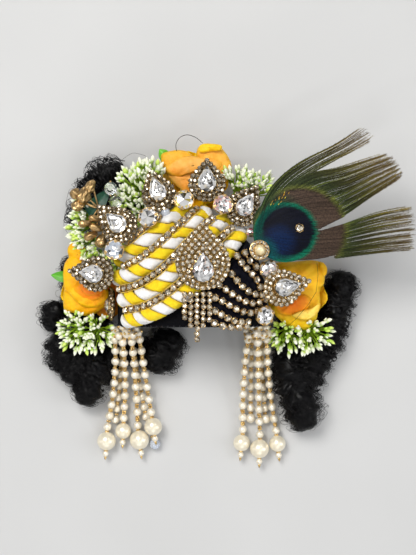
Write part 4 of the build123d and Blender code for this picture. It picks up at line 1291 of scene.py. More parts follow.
def tassel(name, rng):
    kx, ky, kz, kr = KNOTS[name]
    knot = np.array([kx, ky, kz])
    s = Soup()
    small, small_r = [], []
    seeds, seed_r = [], []
    for row in STRANDS[name]:
        key, start, bend, end, top_z, px, py, pz, pr, own = row
        end_z = pz if own else 1.75
        count = max(2, round(math.dist(start, end) / 4.85))
        t = np.linspace(0, 1, count + 1)[:, None]
        xy = (1 - t) ** 2 * np.array(start) + 2 * t * (1 - t) * np.array(bend) + t * t * np.array(end)
        z = end_z + (top_z - end_z) * (1 - t) ** 2
        p = np.hstack((xy, z))
        chain = [knot, *p]
        radii = [kr] + [1.75] * len(p)
        for q in p:
            small.append(q)
            small_r.append(1.75 * rng.uniform(0.96, 1.02))
        hub = np.array([px, py, pz], float)
        if own:
            away = unit(hub - p[-1])
            tip = hub + away * (pr + TIP_R + 0.1)
            chain += [hub, tip]
            radii += [pr, TIP_R]
            small.append(tip)
            small_r.append(TIP_R)
            big = Soup()
            big.stamp(LARGE, [hub], axes_from(away, (1, 0, 0.1))[0], pr)
            # little metal eyelets where the thread leaves the pearl
            for sign in (-1, 1):
                c = hub + away * sign * pr
                ring = np.array([c - away * sign * 0.25, c + away * sign * 0.12])
                tube(big, ring, [0.62, 0.45], 10, 1)
            make("end_pearl_" + key, big, [PEARL_BIG, GOLD], ["pearl_" + key])
            # pointed end pin
            pin = np.array([tip + away * k for k in (TIP_R * 0.8, TIP_R + 0.45, TIP_R + 0.95, TIP_R + 1.3)])
            tube(s, pin, [0.62, 0.48, 0.34, 0.12], 8, 1)
        elif pr:
            chain.append(hub)
            radii.append(pr)
            if pr > 2.1:
                disc = Soup()
                disc.stamp(ball(24, 14, 3), [hub], np.eye(3), pr)
                s.stamp(disc, [(0, 0, 0)], np.eye(3), 1.0)
            else:
                small.append(hub)
                small_r.append(pr)
        for a, b, ra, rb in zip(chain, chain[1:], radii, radii[1:]):
            way = unit(b - a)
            near, far = a + way * ra * 0.9, b - way * rb * 0.9
            gap = np.linalg.norm(b - a) - ra - rb
            tube(s, [near, far], 0.2, 5, 2)
            k = int(max(1, min(4, round(gap / 0.85))))
            ring = axes_from(way, (0.3, 0.2, 1.0))[0]
            for i in range(k):
                c = a + way * (ra + gap * (i + 0.5) / k)
                first = rng.uniform(0, 2 * PI)
                for j in range(3):
                    f = first + 2 * PI * j / 3
                    seeds.append(c + ring[:, 0] * 0.52 * math.cos(f) + ring[:, 1] * 0.52 * math.sin(f))
                    seed_r.append(0.50 * rng.uniform(0.9, 1.12))
    n = len(small)
    tint = 0.93 + 0.07 * rng.random((n, 1)) * np.ones(3)
    s.stamp(SMALL, small, axes_from(rng.normal(size=(n, 3)) + [0, 0, 0.1], (1, 0.2, 0.1)), np.array(small_r), tint)
    n = len(seeds)
    s.stamp(SEED, seeds, axes_from(rng.normal(size=(n, 3)), (1, 0.2, 0.1)), np.array(seed_r))
    # the gathered top: small beads bound round the knot
    heads = [(-4.4, 1.2, -1.6), (-2.0, 2.6, -0.6), (0.8, 2.9, -0.4), (3.4, 2.0, -1.4), (-3.4, -0.9, 0.2), (-0.6, 0.2, 1.2), (2.5, -0.6, 0.4), (4.9, 0.0, -1.8)]
    for dx, dy, dz in heads:
        c = knot + np.array([dx, dy, dz]) + rng.normal(0, 0.15, 3)
        s.stamp(SMALL, [c], np.eye(3), 1.55)
        for j in range(5):
            d = unit(rng.normal(size=3) * [1, 1, 0.6] + [0, 0, 0.5])
            seeds_at = c + d * 1.85
            s.stamp(SEED, [seeds_at], np.eye(3), 0.52)
    s.stamp(SMALL, [knot], np.eye(3), kr * 0.92)
    make("pearls_" + name, s, [PEARL, SEED_GOLD, THREAD, MILKY], [name])


for index, key in enumerate(STRANDS):
    tassel(key, np.random.default_rng(500 + index))


# ---------------------------------------------------------------- flowers
def petal(
    soup,
    rng,
    base,
    turn,
    rise,
    width,
    length,
    cup_by=0.35,
    roll=0.25,
    inner=(1.0, 0.62, 0.05),
    rim=(1.0, 0.70, 0.02),
    deep=(0.95, 0.32, 0.01),
    twist=0.0,
    mat=0,
    nu=15,
    nv=13,
):
    """A cloth petal: it grows from base towards turn (degrees in plan) and rises
    by rise; its sides cup upwards and its far edge rolls back with soft ripples."""
    u = np.linspace(-1, 1, nu)[None, :]
    v = np.linspace(0, 1, nv)[:, None]
    half = width / 2 * np.sin(PI * (0.10 + 0.78 * v)) ** 0.75
    x = half * u
    y = length * (v - 0.16 * v * v * u * u)
    ripple = rng.uniform(0, 6.28, 3)
    edge = np.clip((v - 0.55) / 0.45, 0, 1)
    z = cup_by * width * 0.5 * (u**2) * (0.4 + 0.6 * v)
    z = z + length * 0.22 * v * v
    z = z - roll * width * 0.32 * edge**2.2 * (0.7 + 0.3 * np.sin(2.2 * u + ripple[0]))
    z = z + 0.030 * width * edge * np.sin(5.0 * u + ripple[1]) + 0.012 * width * v * np.sin(11 * u + ripple[2])
    y = y - roll * length * 0.10 * edge**3
    x = x + twist * v * v * length * 0.2
    t, e = math.radians(turn), math.radians(rise)
    ey = np.array([math.cos(t) * math.cos(e), math.sin(t) * math.cos(e), math.sin(e)])
    ex = np.array([math.sin(t), -math.cos(t), 0.0])
    ez = np.cross(ex, ey)
    p = np.asarray(base, float) + x[..., None] * ex + y[..., None] * ey + z[..., None] * ez
    f = np.broadcast_to(v, (nv, nu))[..., None]
    g = np.clip(np.maximum(np.abs(u) ** 3, np.broadcast_to(v, (nv, nu)) ** 5), 0, 1)[..., None]
    colour = np.asarray(deep) * (1 - f) ** 1.6 + np.asarray(inner) * (1 - (1 - f) ** 1.6)
    colour = colour * (1 - g) + np.asarray(rim) * g
    vein = 1 - 0.06 * np.abs(np.sin(9 * u + ripple[2]))[..., None] * (1 - f)
    colour = np.clip(colour * vein, 0, 1)
    thick = 0.22
    faces = grid_faces(nv, nu)
    top = p.reshape(-1, 3)
    du = np.gradient(p, axis=1)
    dv = np.gradient(p, axis=0)
    normal = unit(np.cross(du, dv)).reshape(-1, 3)
    low = top - normal * thick
    c = colour.reshape(-1, 3)
    base_index = soup.n
    # the underside is painted darker, as shade
    soup.add(np.vstack((top, low)), np.vstack((faces, faces[:, ::-1] + nu * nv)), mat, True, np.vstack((c, c * 0.9)))
    rim_loop = list(range(nu)) + [k * nu + nu - 1 for k in range(1, nv)] + [nv * nu - 1 - k for k in range(1, nu)] + [k * nu for k in range(nv - 2, 0, -1)]
    quads = []
    m = nu * nv
    for a, b in zip(rim_loop, rim_loop[1:] + rim_loop[:1]):
        quads.append((a, a + m, b + m, b))
    arr = np.array(quads) + base_index
    soup.l.append(arr.ravel())
    soup.s.append(np.full(len(arr), 4))
    soup.m.append(np.full(len(arr), mat))
    soup.k.append(np.full(len(arr), True))


YEL = dict(inner=(1.0, 0.52, 0.003), rim=(1.0, 0.64, 0.004), deep=(0.98, 0.28, 0.0))
PEACH = dict(inner=(1.0, 0.55, 0.14), rim=(1.0, 0.62, 0.02), deep=(0.90, 0.26, 0.01))


def leaf(soup, base, turn, rise, width, length, colour=(0.10, 0.35, 0.02), mat=1):
    nu, nv = 7, 11
    u = np.linspace(-1, 1, nu)[None, :]
    v = np.linspace(0, 1, nv)[:, None]
    half = width / 2 * np.sin(PI * np.clip(v, 0.02, 0.985)) ** 0.8 * (1 - 0.25 * v)
    x = half * u
    y = length * v + 0 * u
    z = 0.30 * np.abs(x) + 0.08 * length * np.sin(PI * v) - 0.10 * length * v**2
    t, e = math.radians(turn), math.radians(rise)
    ey = np.array([math.cos(t) * math.cos(e), math.sin(t) * math.cos(e), math.sin(e)])
    ex = np.array([math.sin(t), -math.cos(t), 0.0])
    ez = np.cross(ex, ey)
    p = (np.asarray(base, float) + x[..., None] * ex + y[..., None] * ey + z[..., None] * ez).reshape(-1, 3)
    vein = 1 + 0.35 * (np.abs(u) < 0.2)[..., None] * np.ones((nv, nu, 1)) - 0.12 * (np.sin(v * 40 - np.abs(u) * 6)[..., None] > 0.6)
    c = (np.asarray(colour) * vein).reshape(-1, 3)
    faces = grid_faces(nv, nu)
    low = p - ez * 0.18
    # the underside is painted darker, as shade
    soup.add(np.vstack((p, low)), np.vstack((faces, faces[:, ::-1] + nu * nv)), mat, True, np.vstack((c, c * 0.8)))


def ring_of_petals(soup, rng, centre, count, start, reach, rise, width, length, spread=360.0, **kw):
    for k in range(count):
        turn = start + spread * k / count + rng.normal(0, 6)
        t = math.radians(turn)
        base = np.array(centre) + [reach * math.cos(t), reach * math.sin(t), 0]
        petal(soup, rng, base, turn, rise + rng.normal(0, 4), width * rng.uniform(0.92, 1.08), length * rng.uniform(0.92, 1.08), **kw)


def closed_curve(points, count):
    """Smooth closed curve through a few places in plan."""
    p = np.asarray(points, float)
    n = len(p)
    t = np.linspace(0, 1, 9)[:-1][:, None]
    out = []
    for k in range(n):
        p0, p1, p2, p3 = p[k - 1], p[k], p[(k + 1) % n], p[(k + 2) % n]
        out.append(0.5 * (2 * p1 + (p2 - p0) * t + (2 * p0 - 5 * p1 + 4 * p2 - p3) * t**2 + (3 * p1 - p0 - 3 * p2 + p3) * t**3))
    q = resample(np.vstack(out), count=count, closed=True)[0]
    ahead = np.roll(q, -1, 0)
    return q if (q[:, 0] * ahead[:, 1] - ahead[:, 0] * q[:, 1]).sum() > 0 else q[::-1]


def shaped_petal(soup, rng, outline, z, slope=(0.0, 0.0), dome=1.6, roll=1.0, colours=None, deep_at=None, reach=9.0, wave=0.30, pull=(0.0, 0.0)):
    """A broad cloth petal with its own outline in plan: domed, its edge rolled
    down with soft waves, its colour deeper towards deep_at."""
    colours = colours or SUN
    rings, around = 12, 60
    edge = closed_curve(outline, around)
    c = edge.mean(0) + np.array(pull)
    f = np.r_[0.03, np.linspace(0.10, 1.0, rings)][:, None, None]
    p = c + (edge[None] - c) * f
    f2 = f[..., 0]
    ang = np.linspace(0, 2 * PI, around, endpoint=False)[None]
    ph = rng.uniform(0, 6.28, 5)
    size = np.linalg.norm(edge - c, axis=1).mean()
    rel = p - c
    h = z + slope[0] * rel[..., 0] + slope[1] * rel[..., 1]
    h = h + dome * (1 - f2**2)
    h = h - roll * np.clip((f2 - 0.80) / 0.20, 0, 1) ** 2
    h = h + wave * f2**2 * (np.sin(3 * ang + ph[0]) + 0.7 * np.sin(7 * ang + ph[1]) + 0.35 * np.sin(13 * ang + ph[2]))
    h = h + 0.22 * np.sin(rel[..., 0] * 0.55 + rel[..., 1] * 0.35 + ph[2]) + 0.14 * np.sin(rel[..., 0] * -0.9 + rel[..., 1] * 1.3 + ph[3])
    h = h + 0.06 * np.sin(rel[..., 0] * 2.3 + rel[..., 1] * 1.9 + ph[4])
    top = np.dstack((p, h)).reshape(-1, 3)
    mid, rim, deep = (np.asarray(k, float) for k in colours)
    w = np.zeros(f2.shape + (1,))
    w = np.broadcast_to(w, (rings + 1, around, 1)).copy()
    if deep_at is not None:
        d = np.linalg.norm(p - np.asarray(deep_at, float), axis=-1)
        w[..., 0] = np.clip(1 - d / reach, 0, 1)
    colour = mid * (1 - w) + deep * w
    g = (np.clip((f2 - 0.72) / 0.28, 0, 1) ** 1.5)[..., None] * 0.8
    colour = colour * (1 - g) + rim * g
    streak = 1 - 0.05 * np.abs(np.sin(11 * ang + ph[0]))[..., None] * f2[..., None]
    colour = np.clip(colour * streak, 0, 1).reshape(-1, 3)
    low = top - [0, 0, 0.24]
    faces = grid_faces(rings + 1, around, True)
    base = soup.n
    m = len(top)
    # the underside is painted darker, as shade
    soup.add(np.vstack((top, low)), np.vstack((faces[:, ::-1], faces + m)), 0, True, np.vstack((colour, colour * 0.85)))
    last = rings * around + np.arange(around)
    nxt = np.roll(last, -1)
    skirt = np.stack((last, last + m, nxt + m, nxt), -1) + base
    cap = base + np.arange(around)[::-1]
    soup.l += [skirt.ravel(), cap, cap[::-1] + m]
    soup.s += [np.full(around, 4), np.array([around]), np.array([around])]
    soup.m += [np.zeros(around, int), np.zeros(2, int)]
    soup.k += [np.full(around, True), np.full(2, True)]


SUN = ((1.0, 0.52, 0.002), (1.0, 0.62, 0.004), (1.0, 0.30, 0.0))
AMBER = ((1.0, 0.36, 0.004), (1.0, 0.52, 0.004), (0.98, 0.18, 0.0))
PEACH = ((1.0, 0.53, 0.14), (1.0, 0.60, 0.06), (1.0, 0.36, 0.02))
APRICOT = ((1.0, 0.50, 0.10), (1.0, 0.56, 0.010), (1.0, 0.34, 0.02))
LEMON = ((1.0, 0.62, 0.006), (1.0, 0.70, 0.02), (1.0, 0.46, 0.002))
PALE = ((1.0, 0.70, 0.12), (1.0, 0.70, 0.02), (1.0, 0.55, 0.01))

# top rose
s = Soup()
rng = np.random.default_rng(601)
ring_of_petals(s, rng, (-12.0, 47.5, 13.0), 6, 20, 3.0, 30, 11.0, 11.0, cup_by=0.4, roll=0.2, **YEL)
ring_of_petals(s, rng, (-12.0, 48.5, 12.0), 6, 50, 4.0, 5, 12.0, 10.0, cup_by=0.25, roll=0.3, **YEL)
shaped_petal(s, rng, [(-24.0, 50.0), (-24.0, 57.5), (-17.5, 60.0), (-10.5, 57.0), (-9.0, 50.0), (-15.0, 45.0)], 18.5, (0.02, -0.05), 1.5, 1.2, APRICOT, (-15, 47), 12)
shaped_petal(s, rng, [(-14.0, 50.0), (-12.0, 60.0), (-4.5, 62.5), (1.5, 59.0), (2.2, 51.0), (-3.0, 46.0), (-10.0, 46.0)], 18.8, (0.02, -0.05), 1.5, 1.2, SUN, (-6, 47), 12)
shaped_petal(s, rng, [(-25.7, 59.6), (-22.8, 60.8), (-19.6, 61.4), (-16.2, 61.2), (-14.0, 60.0), (-11.5, 57.9), (-9.9, 54.7), (-14.0, 51.9), (-19.2, 50.7), (-23.7, 51.5), (-25.1, 54.7)], 22.2, (0.02, -0.12), 1.6, 1.2, ((1.0, 0.47, 0.04), (1.0, 0.60, 0.004), (1.0, 0.36, 0.01)), (-14, 53), 8)
shaped_petal(s, rng, [(-11.5, 58.3), (-11.1, 61.6), (-9.5, 63.2), (-5.5, 63.4), (-2.7, 63.0), (-1.0, 62.0), (1.4, 58.9), (2.8, 55.3), (2.6, 51.9), (1.0, 49.1), (-3.5, 47.4), (-8.7, 49.1), (-11.1, 53.9)], 22.6, (-0.03, -0.10), 1.9, 1.4, ((1.0, 0.48, 0.06), (1.0, 0.60, 0.004), (1.0, 0.38, 0.02)), (-7, 50), 9)
shaped_petal(s, rng, [(-23.2, 51.0), (-19.2, 51.6), (-14.4, 52.8), (-9.3, 54.2), (-7.7, 49.8), (-11.5, 45.0), (-15.6, 42.4), (-18.0, 45.4), (-20.8, 48.2)], 22.6, (0.05, 0.05), 1.2, 0.8, PEACH, (-15.0, 46.0), 9)
shaped_petal(s, rng, [(-24.4, 52.8), (-22.0, 56.5), (-17.1, 58.6), (-11.5, 58.6), (-7.5, 58.0), (-3.0, 57.6), (-0.5, 55.0), (-3.0, 52.6), (-7.5, 53.0), (-10.7, 52.6), (-15.1, 51.2), (-19.6, 50.2)], 24.6, (0.03, -0.06), 1.3, 1.3, APRICOT, (-19, 50), 7, 0.2)
shaped_petal(s, rng, [(-10.7, 61.3), (-9.3, 63.4), (-5.5, 63.7), (-1.3, 62.9), (-1.7, 61.0), (-5.9, 60.6), (-9.1, 60.0)], 25.6, (0, 0.1), 0.7, 0.8, LEMON, None, 5, 0.15)
leaf(s, (-23.0, 57.5, 18.5), 128, 8, 5.2, 5.6, (0.14, 0.46, 0.02))
leaf(s, (-22.0, 56.0, 17.5), 150, 6, 4.0, 5.0, (0.12, 0.40, 0.02))
tube(s, [(-12.0, 47.5, 11.6), (-12.0, 47.5, 13.4), (-12.0, 47.5, 17.0), (-12.0, 47.5, 19.0)], [0.6, 3.2, 5.4, 5.0], 16, 1, (0.05, 0.22, 0.02))
make("flower_top", s, [PETAL, LEAF], ["rose_top"])

# left rose, seen from its side
s = Soup()
rng = np.random.default_rng(602)
ring_of_petals(s, rng, (-56.5, 5.0, 13.0), 7, 95, 3.4, 18, 10.5, 8.5, cup_by=0.25, roll=0.3, **YEL)
ring_of_petals(s, rng, (-56.5, 5.0, 15.5), 6, 120, 2.4, 35, 9.0, 7.5, cup_by=0.35, roll=0.25, **YEL)
# painted shade: the petal lying under the rose is coloured a darker orange
UNDER_SHADED = ((0.92, 0.30, 0.004), (0.98, 0.42, 0.004), (0.70, 0.12, 0.0))
shaped_petal(s, rng, [(-54.0, 13.0), (-47.0, 13.6), (-42.6, 9.5), (-42.0, 2.0), (-43.4, -5.0), (-49.0, -7.0), (-54.0, -2.0)], 15.0, (0.0, 0.04), 1.0, 0.7, UNDER_SHADED, (-46, 2), 10)
shaped_petal(s, rng, [(-62.4, 16.2), (-63.6, 20.0), (-63.2, 22.4), (-61.4, 23.8), (-58.4, 23.4), (-55.5, 20.4), (-55.9, 16.0), (-59.6, 13.7)], 22.4, (0.05, 0.02), 1.5, 1.0, SUN, (-57, 15), 6)
shaped_petal(s, rng, [(-64.7, 5.7), (-65.4, 1.6), (-65.5, -1.4), (-64.6, -3.8), (-60.8, -4.8), (-55.5, -6.0), (-51.1, -4.0), (-47.6, -0.8), (-46.6, 3.4), (-50.3, 5.5), (-55.9, 5.7), (-61.2, 6.5)], 21.8, (0.03, 0.10), 1.8, 1.3, SUN, (-50, 3), 12)
shaped_petal(s, rng, [(-64.3, 16.3), (-65.3, 12.3), (-65.2, 8.3), (-64.6, 4.0), (-61.0, 1.6), (-56.5, 1.8), (-53.2, 5.5), (-54.0, 11.9), (-57.8, 17.2), (-61.4, 18.6)], 23.8, (0.06, 0.0), 1.9, 1.3, SUN, (-54, 4), 10)
shaped_petal(s, rng, [(-63.2, 4.6), (-60.4, 0.4), (-55.9, -2.4), (-50.6, -1.8), (-46.9, 2.4), (-48.6, 6.0), (-55.3, 5.4), (-59.9, 6.0)], 24.8, (0.0, 0.10), 1.4, 1.0, SUN, (-51, 5), 9)
shaped_petal(s, rng, [(-60.8, 5.4), (-58.5, 1.6), (-54.0, 0.0), (-49.6, 1.4), (-47.8, 5.0), (-51.0, 8.4), (-57.0, 9.0)], 26.0, (0.0, 0.08), 1.2, 0.9, AMBER, (-53, 5), 8)
shaped_petal(s, rng, [(-58.6, 6.0), (-56.4, 3.0), (-53.0, 2.2), (-50.0, 3.8), (-50.2, 7.6), (-54.0, 9.2), (-57.6, 8.6)], 27.4, (0.0, 0.06), 0.9, 0.8, ((0.98, 0.30, 0.02), (1.0, 0.44, 0.02), (0.9, 0.16, 0.004)), (-54, 6), 5, 0.2)
for k in range(5):
    f = 2 * PI * k / 5
    petal(s, rng, (-54.0 + 0.8 * math.cos(f), 6.0 + 0.8 * math.sin(f), 25.8), math.degrees(f), 66, 4.2, 3.6, cup_by=0.7, roll=0.1, inner=(0.98, 0.30, 0.02), rim=(1.0, 0.46, 0.02), deep=(0.7, 0.10, 0.0))
leaf(s, (-62.0, 9.5, 19.0), 172, 4, 5.0, 8.6, (0.10, 0.40, 0.02))
tube(s, [(-56.5, 5.0, 11.6), (-56.5, 5.0, 13.4), (-56.5, 5.0, 17.0), (-56.5, 5.0, 19.0)], [0.6, 3.2, 5.4, 5.0], 16, 1, (0.05, 0.22, 0.02))
make("flower_left", s, [PETAL, LEAF], ["rose_left"])

# right rose
s = Soup()
rng = np.random.default_rng(603)
ring_of_petals(s, rng, (30.0, 3.0, 13.0), 7, -60, 4.0, 16, 11.5, 9.0, cup_by=0.25, roll=0.3, **YEL)
ring_of_petals(s, rng, (30.0, 3.0, 16.0), 6, -40, 3.0, 34, 10.0, 8.5, cup_by=0.35, roll=0.25, **YEL)
shaped_petal(s, rng, [(19.1, -2.6), (21.9, -7.0), (25.9, -10.1), (28.8, -11.3), (33.2, -11.4), (35.6, -9.4), (37.6, -6.2), (36.8, -1.6), (30.4, 1.4), (23.9, 1.4)], 22.6, (-0.02, 0.10), 1.7, 1.2, LEMON, (22, 0), 9)
shaped_petal(s, rng, [(20.0, 14.9), (28.3, 16.1), (35.2, 16.7), (39.4, 15.7), (41.1, 13.1), (40.6, 10.3), (40.2, 6.9), (38.4, 4.9), (38.8, 0.2), (37.8, -3.0), (31.9, -4.4), (25.3, -2.4), (20.3, 6.1)], 24.2, (-0.06, 0.02), 2.0, 1.5, ((1.0, 0.54, 0.008), (1.0, 0.60, 0.010), (0.98, 0.42, 0.006)), (25, 2), 12)
shaped_petal(s, rng, [(38.0, 16.0), (40.0, 15.6), (41.4, 13.4), (41.0, 10.8), (39.4, 10.6), (38.4, 12.8)], 24.8, (0.0, 0.0), 0.9, 0.7, SUN, None, 5, 0.15)
shaped_petal(s, rng, [(19.4, 0.9), (23.8, 3.7), (29.5, 4.1), (34.5, 1.5), (33.1, -3.4), (27.3, -5.6), (21.8, -4.4)], 26.2, (-0.02, 0.08), 1.2, 0.9, AMBER, (27, 0), 8)
shaped_petal(s, rng, [(27.0, -5.6), (30.8, -3.6), (35.0, -2.6), (38.4, -0.6), (37.9, -3.9), (35.0, -6.8), (31.2, -7.4)], 26.6, (0.0, 0.06), 0.9, 0.8, PALE, None, 5, 0.2)
tube(s, [(37.1, 15.6, 26.9), (37.5, 10.7, 27.6), (36.7, 3.9, 28.3), (33.4, -1.3, 28.9), (29.0, -6.5, 28.0), (25.6, -10.0, 25.0)], 0.07, 4, 2, (0.02, 0.015, 0.01), False)
tube(s, [(30.0, 3.0, 11.6), (30.0, 3.0, 13.4), (30.0, 3.0, 17.0), (30.0, 3.0, 19.0)], [0.6, 3.2, 5.4, 5.0], 16, 1, (0.05, 0.22, 0.02))
make("flower_right", s, [PETAL, LEAF, HAIR], ["rose_right"])

# ---------------------------------------------------------------- bud sprigs
BUD_SHAPE = Soup()
prof = [(0.0, 0.0), (0.32, 0.10), (0.50, 0.35), (0.52, 0.60), (0.36, 0.84), (0.14, 0.97), (0.0, 1.06)]
a = np.linspace(0, 2 * PI, 7, endpoint=False)
rings = [np.column_stack((max(r, 0.02) * np.cos(a), max(r, 0.02) * np.sin(a), np.full(7, z))) for r, z in prof]
lo, hi = np.array((0.44, 0.62, 0.07)), np.array((0.98, 0.98, 0.88))
tone = np.vstack([np.repeat([lo + (hi - lo) * min(1, max(0, z * 2.2 - 0.50))], 7, 0) for r, z in prof])
BUD_SHAPE.add(np.vstack(rings), grid_faces(len(prof), 7, True), 0, True, tone)
TINY = ball(6, 4, 1, True, (0.30, 0.52, 0.08))


def sprig(name, umbels, rng, nodes, low=12.0):
    """Umbels of buds: root, aim, spread, reach, stalks, share of white buds."""
    s = Soup()
    for root, aim, spread, reach, count, white in umbels:
        root = np.array(root, float)
        ax = axes_from(unit(np.array(aim, float)), (1.0, 0.3, 0.2))[0]
        buds, baxes, bscale, btint = [], [], [], []

        def bud(at, way, long, thick, tint):
            buds.append(at)
            baxes.append(axes_from(unit(way), (0.3, 1, 0.2))[0])
            bscale.append((thick, thick, long))
            btint.append(tint)

        for k in range(count):
            r = spread * math.sqrt((k + 0.5) / count)
            f = k * 2.39996 + rng.normal(0, 0.2)
            d = unit(ax @ np.array([r * math.cos(f), r * math.sin(f), 1.0]))
            far = reach * rng.uniform(0.66, 1.0)
            mid = root + d * far * 0.55 + rng.normal(0, 0.25, 3)
            tip = root + d * far
            tip[2] = max(tip[2], low + rng.uniform(0, 1))
            green = np.array((0.32, 0.50, 0.02)) * rng.uniform(0.6, 1.1)
            tube(s, [root + d * far * 0.10, mid, tip], [0.34, 0.26, 0.30], 4, 1, green, False)
            kind = (1, 1, 1) if rng.random() < white else (0.70, 0.86, 0.22)
            size = rng.uniform(0.85, 1.12)
            bud(tip, d + rng.normal(0, 0.10, 3), 3.3 * size, 1.5 * size, kind)
            around = axes_from(d, (0.2, 0.3, 1.0))[0]
            start = rng.uniform(0, 2 * PI)
            for j in range(int(rng.integers(1, 4))):
                g = start + j * 2.2
                side = around[:, 0] * math.cos(g) + around[:, 1] * math.sin(g)
                way = d + side * rng.uniform(0.5, 0.85)
                bud(tip - d * 0.45, way, rng.uniform(1.9, 2.7), rng.uniform(0.95, 1.2), (1, 1, 1) if rng.random() < white * 0.8 else (0.56, 0.78, 0.14))
            if k % 3 == 0:
                q = mid + rng.normal(0, 0.2, 3)
                bud(q, d + rng.normal(0, 0.7, 3), 2.0, 0.8, (0.38, 0.58, 0.05))
        s.stamp(BUD_SHAPE, buds, np.array(baxes), np.array(bscale), np.array(btint))
        s.stamp(TINY, [root], np.eye(3), 1.3)
    make(name, s, [BUD, LEAF], nodes)


sprig(
    "buds_top_left",
    [
        ((-29.0, 44.5, 21.0), (-0.10, 0.84, 0.42), 0.62, 12.5, 26, 0.9),
        ((-33.0, 43.0, 19.5), (-0.34, 0.80, 0.46), 0.60, 13.5, 28, 0.85),
        ((-31.0, 41.5, 22.5), (-0.15, 0.35, 0.90), 0.85, 7.5, 16, 0.7),
        ((-37.5, 40.0, 21.0), (-0.50, 0.30, 0.78), 0.95, 8.5, 22, 0.8),
        ((-33.0, 36.0, 23.0), (-0.25, -0.10, 0.95), 0.95, 7.0, 16, 0.9),
    ],
    np.random.default_rng(701),
    ["sprig_top_left"],
)
sprig(
    "buds_left",
    [
        ((-53.5, 31.0, 18.5), (-0.80, 0.10, 0.55), 0.80, 9.5, 22, 0.8),
        ((-52.5, 25.0, 18.5), (-0.62, -0.30, 0.72), 0.85, 9.5, 24, 0.75),
        ((-52.5, 36.0, 18.0), (-0.60, 0.30, 0.72), 0.75, 8.5, 18, 0.7),
        ((-50.5, 20.0, 20.5), (-0.30, -0.40, 0.85), 0.85, 6.5, 14, 0.6),
        ((-45.5, 30.5, 15.5), (0.15, -0.10, 0.95), 0.95, 6.0, 14, 0.6),
        ((-46.5, 21.5, 14.0), (0.35, -0.20, 0.90), 1.05, 6.0, 16, 0.5),
        ((-45.5, 14.5, 12.5), (0.45, -0.30, 0.85), 1.05, 6.0, 14, 0.4),
    ],
    np.random.default_rng(702),
    ["sprig_left"],
)
sprig(
    "buds_low_left",
    [
        ((-59.0, -11.0, 16.4), (-0.25, -0.30, 0.90), 1.8, 9.4, 34, 0.85),
        ((-51.6, -10.8, 16.4), (0.10, -0.40, 0.90), 1.6, 8.8, 28, 0.7),
    ],
    np.random.default_rng(703),
    ["sprig_low_left"],
)
sprig(
    "buds_top_right",
    [
        ((4.5, 43.5, 20.5), (0.16, 0.74, 0.62), 0.75, 10.5, 24, 0.85),
        ((11.0, 42.5, 20.5), (0.42, 0.62, 0.62), 0.85, 10.5, 26, 0.8),
    ],
    np.random.default_rng(704),
    ["sprig_top_right"],
)
sprig(
    "buds_low_right",
    [
        ((25.6, -11.0, 15.4), (-0.15, -0.60, 0.75), 1.3, 10.0, 28, 0.5),
        ((34.0, -11.4, 15.4), (0.30, -0.45, 0.80), 1.4, 10.0, 30, 0.75),
    ],
    np.random.default_rng(705),
    ["sprig_low_right"],
)


# ---------------------------------------------------------------- gold buds and dark leaf
GOLD_BUDS = [
    (-56.4, 42.6, 29.3, 2.3, 3.8, 250),
    (-58.6, 38.8, 28.9, 2.0, 3.0, 200),
    (-53.9, 46.2, 29.3, 1.7, 3.0, 240),
    (-59.6, 43.0, 28.7, 1.8, 2.6, 150),
    (-52.0, 33.4, 29.4, 1.3, 2.6, 170),
    (-56.0, 31.4, 29.4, 1.4, 2.8, 185),
    (-51.6, 29.6, 29.2, 1.5, 2.9, 160),
    (-53.6, 26.4, 29.2, 1.6, 3.0, 200),
    (-49.6, 24.4, 28.4, 2.2, 2.8, 250),
]
BUD_GOLD = gold_material("bud_gold_paint", (0.62, 0.42, 0.19), (0.24, 0.145, 0.06), 0.36)
s = Soup()
rng = np.random.default_rng(720)
root = np.array([-50.6, 37.6, 28.2])
for x, y, z, r, half, turn in GOLD_BUDS:
    sides, rows = 24, 21
    t = np.linspace(0.02, PI - 0.02, rows)[:, None]
    a = np.linspace(0, 2 * PI, sides, endpoint=False)[None, :]
    ph = rng.uniform(0, 6.28, 4)
    rough = 2.1 if y > 36 else 1.0
    seam = 1 + rough * (0.10 * np.cos(5 * a + ph[0]) * np.sin(t) + 0.07 * np.sin(3 * a + 4 * t + ph[1]) + 0.05 * np.sin(7 * a - 5 * t + ph[2]))
    seam = seam + (rough - 1) * 0.07 * np.sin(9 * t + ph[3]) * np.cos(4 * a)
    rad = r * np.sin(t) ** 0.85 * seam * (1 + 0.18 * np.cos(t))
    d = np.array([math.cos(math.radians(turn)), math.sin(math.radians(turn)), 0.12])
    ax = axes_from(d, (0, 0, 1))[0]
    local = np.stack((rad * np.cos(a), rad * np.sin(a), np.repeat(half * np.cos(t), sides, 1)), -1)
    s.add((local @ ax.T + [x, y, z]).reshape(-1, 3), grid_faces(rows, sides, True)[:, ::-1], 0, True)
    end = np.array([x, y, z]) - d * half * 0.8
    mid = (root + end) / 2 + [rng.normal(0, 0.8), rng.normal(0, 0.8), 0.3]
    tube(s, [root, (root + mid) / 2 + [0, 0, 0.2], mid, end], 0.34, 6, 0)
make("gold_paper_buds", s, [BUD_GOLD], ["gold_buds"])

s = Soup()
for base, turn, rise, w, length in (((-54.6, 34.6, 26.4), 52, 4, 6.6, 13.4), ((-53.6, 34.4, 25.8), 96, 2, 5.2, 8.5), ((-52.0, 35.0, 25.6), 20, 2, 4.6, 7.5)):
    leaf(s, base, turn, rise, w, length, (0.007, 0.058, 0.032), 0)
make("dark_leaf", s, [LEAF], ["leaf_dark"])


# ---------------------------------------------------------------- peacock feather
FEATHER_UNDER = ((11.0, 37.3), (42.0, 39.2), (80.0, 33.6))


